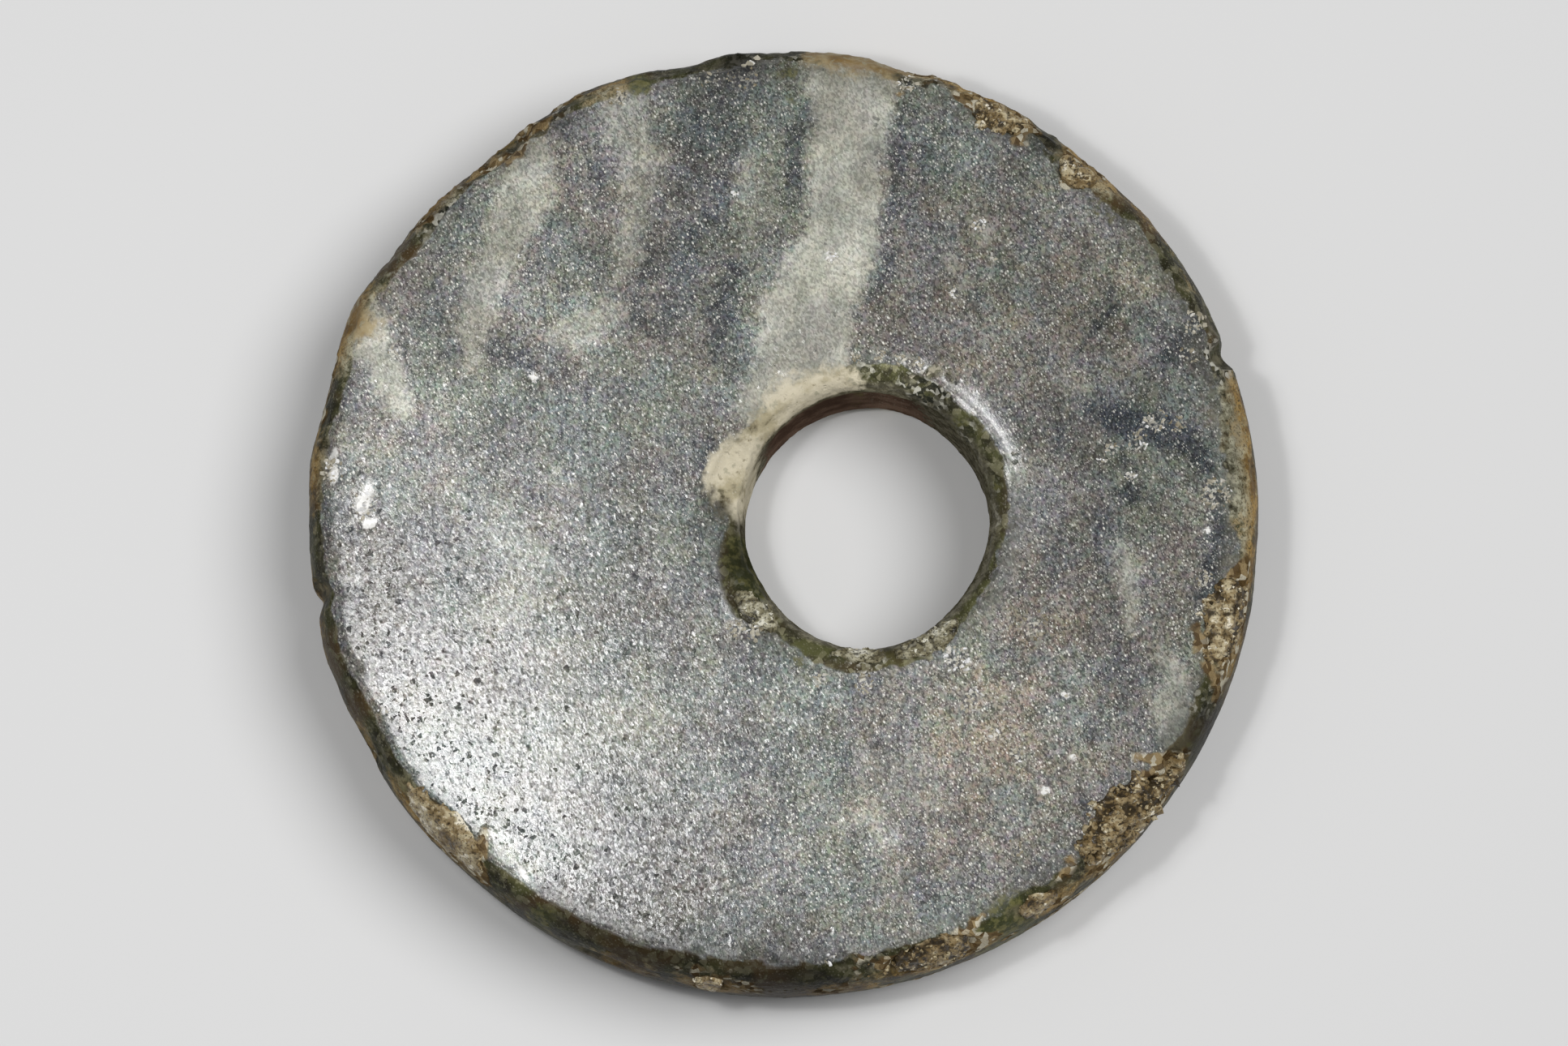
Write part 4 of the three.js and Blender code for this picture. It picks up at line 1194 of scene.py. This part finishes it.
def jade_material(name, dullness, specular):
    """The whole stone. Its parts differ in how dull they are and in how much they reflect; a dullness of 0
    stands for the polish, which is duller where it wears off towards the edges."""
    s = JadeShader(name)
    edge, shine, bend = s.attribute("edge"), s.attribute("shine"), s.attribute("bend")
    vein = s.times(s.patch("pale", 1.3, 0.7, 0.7, 1.25), s.attribute("pale_strength"))
    # pale specks: pale crystals, and painted glints where the grain's facets would sparkle
    small = s.times(s.specks(s.grained, 15.5, 0.2, 0.5), 0.75)
    speck_glint = s.math("MAXIMUM", s.specks(s.grained, 8.5, 0.18, 0.45), small)
    speck_glint = s.times(speck_glint, s.rest(s.blend((vein, 0.75), (edge, 0.45))))
    pits = pits_of_polish(s)
    colour = grain_colour(s, body_colour(s, vein), vein, speck_glint)
    colour = s.mix(s.times(pits, 0.5), colour, (0.04, 0.042, 0.042))

    # the edges, the painted shade where the polish bends over, and the stains and changes that lie on them
    # painted shade where the polish bends over towards the rim and the mouth
    colour = s.mix(s.times(bend, s.step(s.ragged, 0.35, 0.6, 0.2, 0.6)), colour, (0.05, 0.05, 0.034))
    colour = s.mix(s.patch("edge", 0, 0.5, 0.4, 0.8), colour, edge_colour(s, vein, speck_glint))
    skin = s.times(s.patch("skin", 1.0, 0.8, 1.2, 1.6), s.step(edge, 0.0, 0.5, 0.2, 0.95))
    colour = s.mix(skin, colour, skin_colour(s))
    green = s.mix(s.step(s.ragged, 0.46, 0.6), (0.04, 0.046, 0.017), (0.125, 0.12, 0.045))
    colour = s.mix(s.patch("green", 0, 1.2, 0.9, 1.4, 0.85), colour, green)
    altered = s.patch("altered", 1.3, 0.9, 0.85, 1.35)
    colour = s.mix(altered, colour, cream_colour(s, speck_glint))

    # broken places, soil and painted highlights
    scar = s.times(s.attribute("scar"), s.step(s.ragged, 0.42, 0.6, 0.1, 0.6))
    scar = s.times(scar, s.rest(s.math("MAXIMUM", shine, altered)))
    colour = s.mix(scar, colour, (0.15, 0.135, 0.095))
    scuff, broken = s.patch("scuff", 0, 0.9, 0.65, 0.95), s.chances(s.where, 13.0)[0]
    colour = s.mix(s.times(scuff, s.step(broken, 0.45, 0.25, 0, 0.8)), colour, (0.035, 0.037, 0.04))
    colour = s.mix(s.times(scuff, s.step(broken, 0.6, 0.85, 0, 0.85)), colour, (0.5, 0.48, 0.41))
    soil = s.patch("soil", 0, 0.6, 0.45, 0.95)
    colour = s.mix(soil, colour, soil_colour(s))
    # tone spots: the stone's own lighter and darker parts, with painted sheen, painted highlight and a
    # painted ledge shadow among them
    colour = s.shaded(1.0, colour, s.grey(s.attribute("tone")))
    # painted highlight: near-white patches where a flake's face or the polish would catch the light
    glint_patch = s.blend((s.attribute("glint_patch"), 1.0), (s.ragged, 0.8), (s.crystal[1], 0.25))
    colour = s.mix(s.step(glint_patch, 0.55, 0.95), colour, (0.78, 0.77, 0.74))

    if not dullness:
        dullness = s.blend((s.step(edge, 0.0, 0.6, 0.14, 0.4), 1.0), (bend, 0.2), (shine, 0.045))
    gloss = s.blend((s.fine, 0.1), (soil, 0.4), (scar, 0.3), (pits, 0.5), (skin, 0.05), (scuff, 0.15))
    rough_part = s.rest(s.times(shine, 0.78))
    relief = s.facets(s.grained, 12.0, s.times(rough_part, 0.058), 2.0)
    relief = s.bump(s.times(s.fine, rough_part), 0.008, 0.5, relief)
    relief = s.bump(pits, -0.04, 0.6, relief)
    relief = s.bump(s.times(s.ragged, edge), 0.12, 0.5, relief)
    relief = s.bump(s.times(soil, s.fine), 0.09, 0.8, relief)
    s.dress(IOR=JADE_IOR, Specular_IOR_Level=specular)
    return s.dress(Base_Color=colour, Roughness=s.math("ADD", gloss, dullness), Normal=relief)


def crust_material(name, brown, tan, cream, white):
    """Packed grains from brown to white by their shade value, with painted shade darkening the hollows
    between them.
    """
    s = Shader(name)
    where = s.places()
    ragged = s.noise(where, 4.0, 5, 0.62)
    fine = s.noise(where, 12.0, 2, 0.6)
    chance = s.chances(s.stretched(where, (0.5, 1.0, 0.8), 0.7), 7.0)[0]
    shade = s.blend((s.attribute("shade"), 1.0), (ragged, 0.9), (chance, 0.5))
    dark = s.vector("SCALE", brown, scale=0.2)
    colour = s.layers(
        dark,
        (shade, 0.68, 0.95, 1, brown),
        (shade, 0.95, 1.25, 1, tan),
        (shade, 1.3, 1.6, 1, cream),
        (shade, 1.65, 1.9, 1, white),
        (s.attribute("hollow_shade"), 0.35, 0.65, 0.95, dark),
        (fine, 0.46, 0.36, 0.8, dark),
    )
    relief = s.bump(fine, 0.04, 0.7, s.facets(where, 9.0, 0.6))
    return s.dress(Base_Color=colour, Roughness=s.step(ragged, 0.4, 0.62, 0.28, 0.8), Normal=relief)


def fleck_material():
    s = Shader("pale crystal")
    ragged = s.noise(s.places(), 9.0, 3, 0.6)
    shade = s.blend((s.attribute("shade"), 1.0), (ragged, 0.5))
    colour = s.layers(
        (0.2, 0.17, 0.11),
        (shade, 0.3, 0.8, 1, (0.42, 0.39, 0.31)),
        # near-white crystals: partly pale crystals, partly painted glints
        (shade, 0.85, 1.3, 1, (0.8, 0.8, 0.8)),
    )
    relief = s.bump(ragged, 0.02, 0.5)
    return s.dress(Base_Color=colour, Roughness=s.step(ragged, 0.3, 0.7, 0.15, 0.5), Normal=relief)


# The object

stone = Stone().mesh()
for kind in STONE_KINDS:
    stone.data.materials.append(jade_material(*kind))
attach(stone, "root")
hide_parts("jade_disc")

flecks = make_flecks()
flecks.data.materials.append(fleck_material())
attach(flecks, "root")

crust_materials = {edge: crust_material(*palette) for edge, palette in CRUST_PALETTES.items()}
for row in CRUSTS:
    piece = make_crust(*row)
    piece.data.materials.append(crust_materials[row[1]])
    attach(piece, "root")
    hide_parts(row[0])

# Floor, light and camera

bpy.ops.mesh.primitive_circle_add(vertices=96, radius=FLOOR_RADIUS, fill_type="NGON", location=(0, 0, 0))
floor = bpy.context.object
floor.name = "floor"
floor.data.materials.append(Shader("floor").dress(Base_Color=FLOOR_COLOUR, Roughness=0.9))


def area_light(name, place, target, size, power, in_reflections):
    light = bpy.data.lights.new(name, "AREA")
    light.shape = "DISK"
    light.size = size
    light.energy = power
    obj = bpy.data.objects.new(name, light)
    obj.location = place
    obj.rotation_euler = (Vector(target) - Vector(place)).to_track_quat("-Z", "Y").to_euler()
    obj.visible_camera = False
    obj.visible_glossy = in_reflections
    bpy.context.scene.collection.objects.link(obj)


def photo_camera():
    """A camera at the photograph's angle; its frame is as wide as the photograph at the crest's height."""
    flat = math.cos(ELEVATION)
    back = Vector((math.sin(AZIMUTH) * flat, -math.cos(AZIMUTH) * flat, math.sin(ELEVATION)))
    right = Vector((0, 1, 0)).cross(back).normalized()
    turn = Matrix((right, back.cross(right), back)).transposed().to_4x4()
    camera = bpy.data.objects.new("camera", bpy.data.cameras.new("camera"))
    camera.matrix_world = Matrix.Translation(Vector((0, 0, CREST * MM)) + back * DISTANCE) @ turn
    camera.data.sensor_width = SENSOR
    camera.data.lens = SENSOR * DISTANCE / (PHOTO_WIDTH / PIXELS_PER_MM * MM)
    camera.data.clip_start = 0.01
    bpy.context.scene.collection.objects.link(camera)
    return camera


for lamp in LAMPS:
    area_light(*lamp)
world = bpy.data.worlds.new("studio")
world.use_nodes = True
world.node_tree.nodes["Background"].inputs["Color"].default_value = (1, 1, 1, 1)
world.node_tree.nodes["Background"].inputs["Strength"].default_value = WORLD_STRENGTH
bpy.context.scene.world = world
bpy.context.scene.camera = photo_camera()
bpy.context.scene.view_settings.view_transform = "Standard"
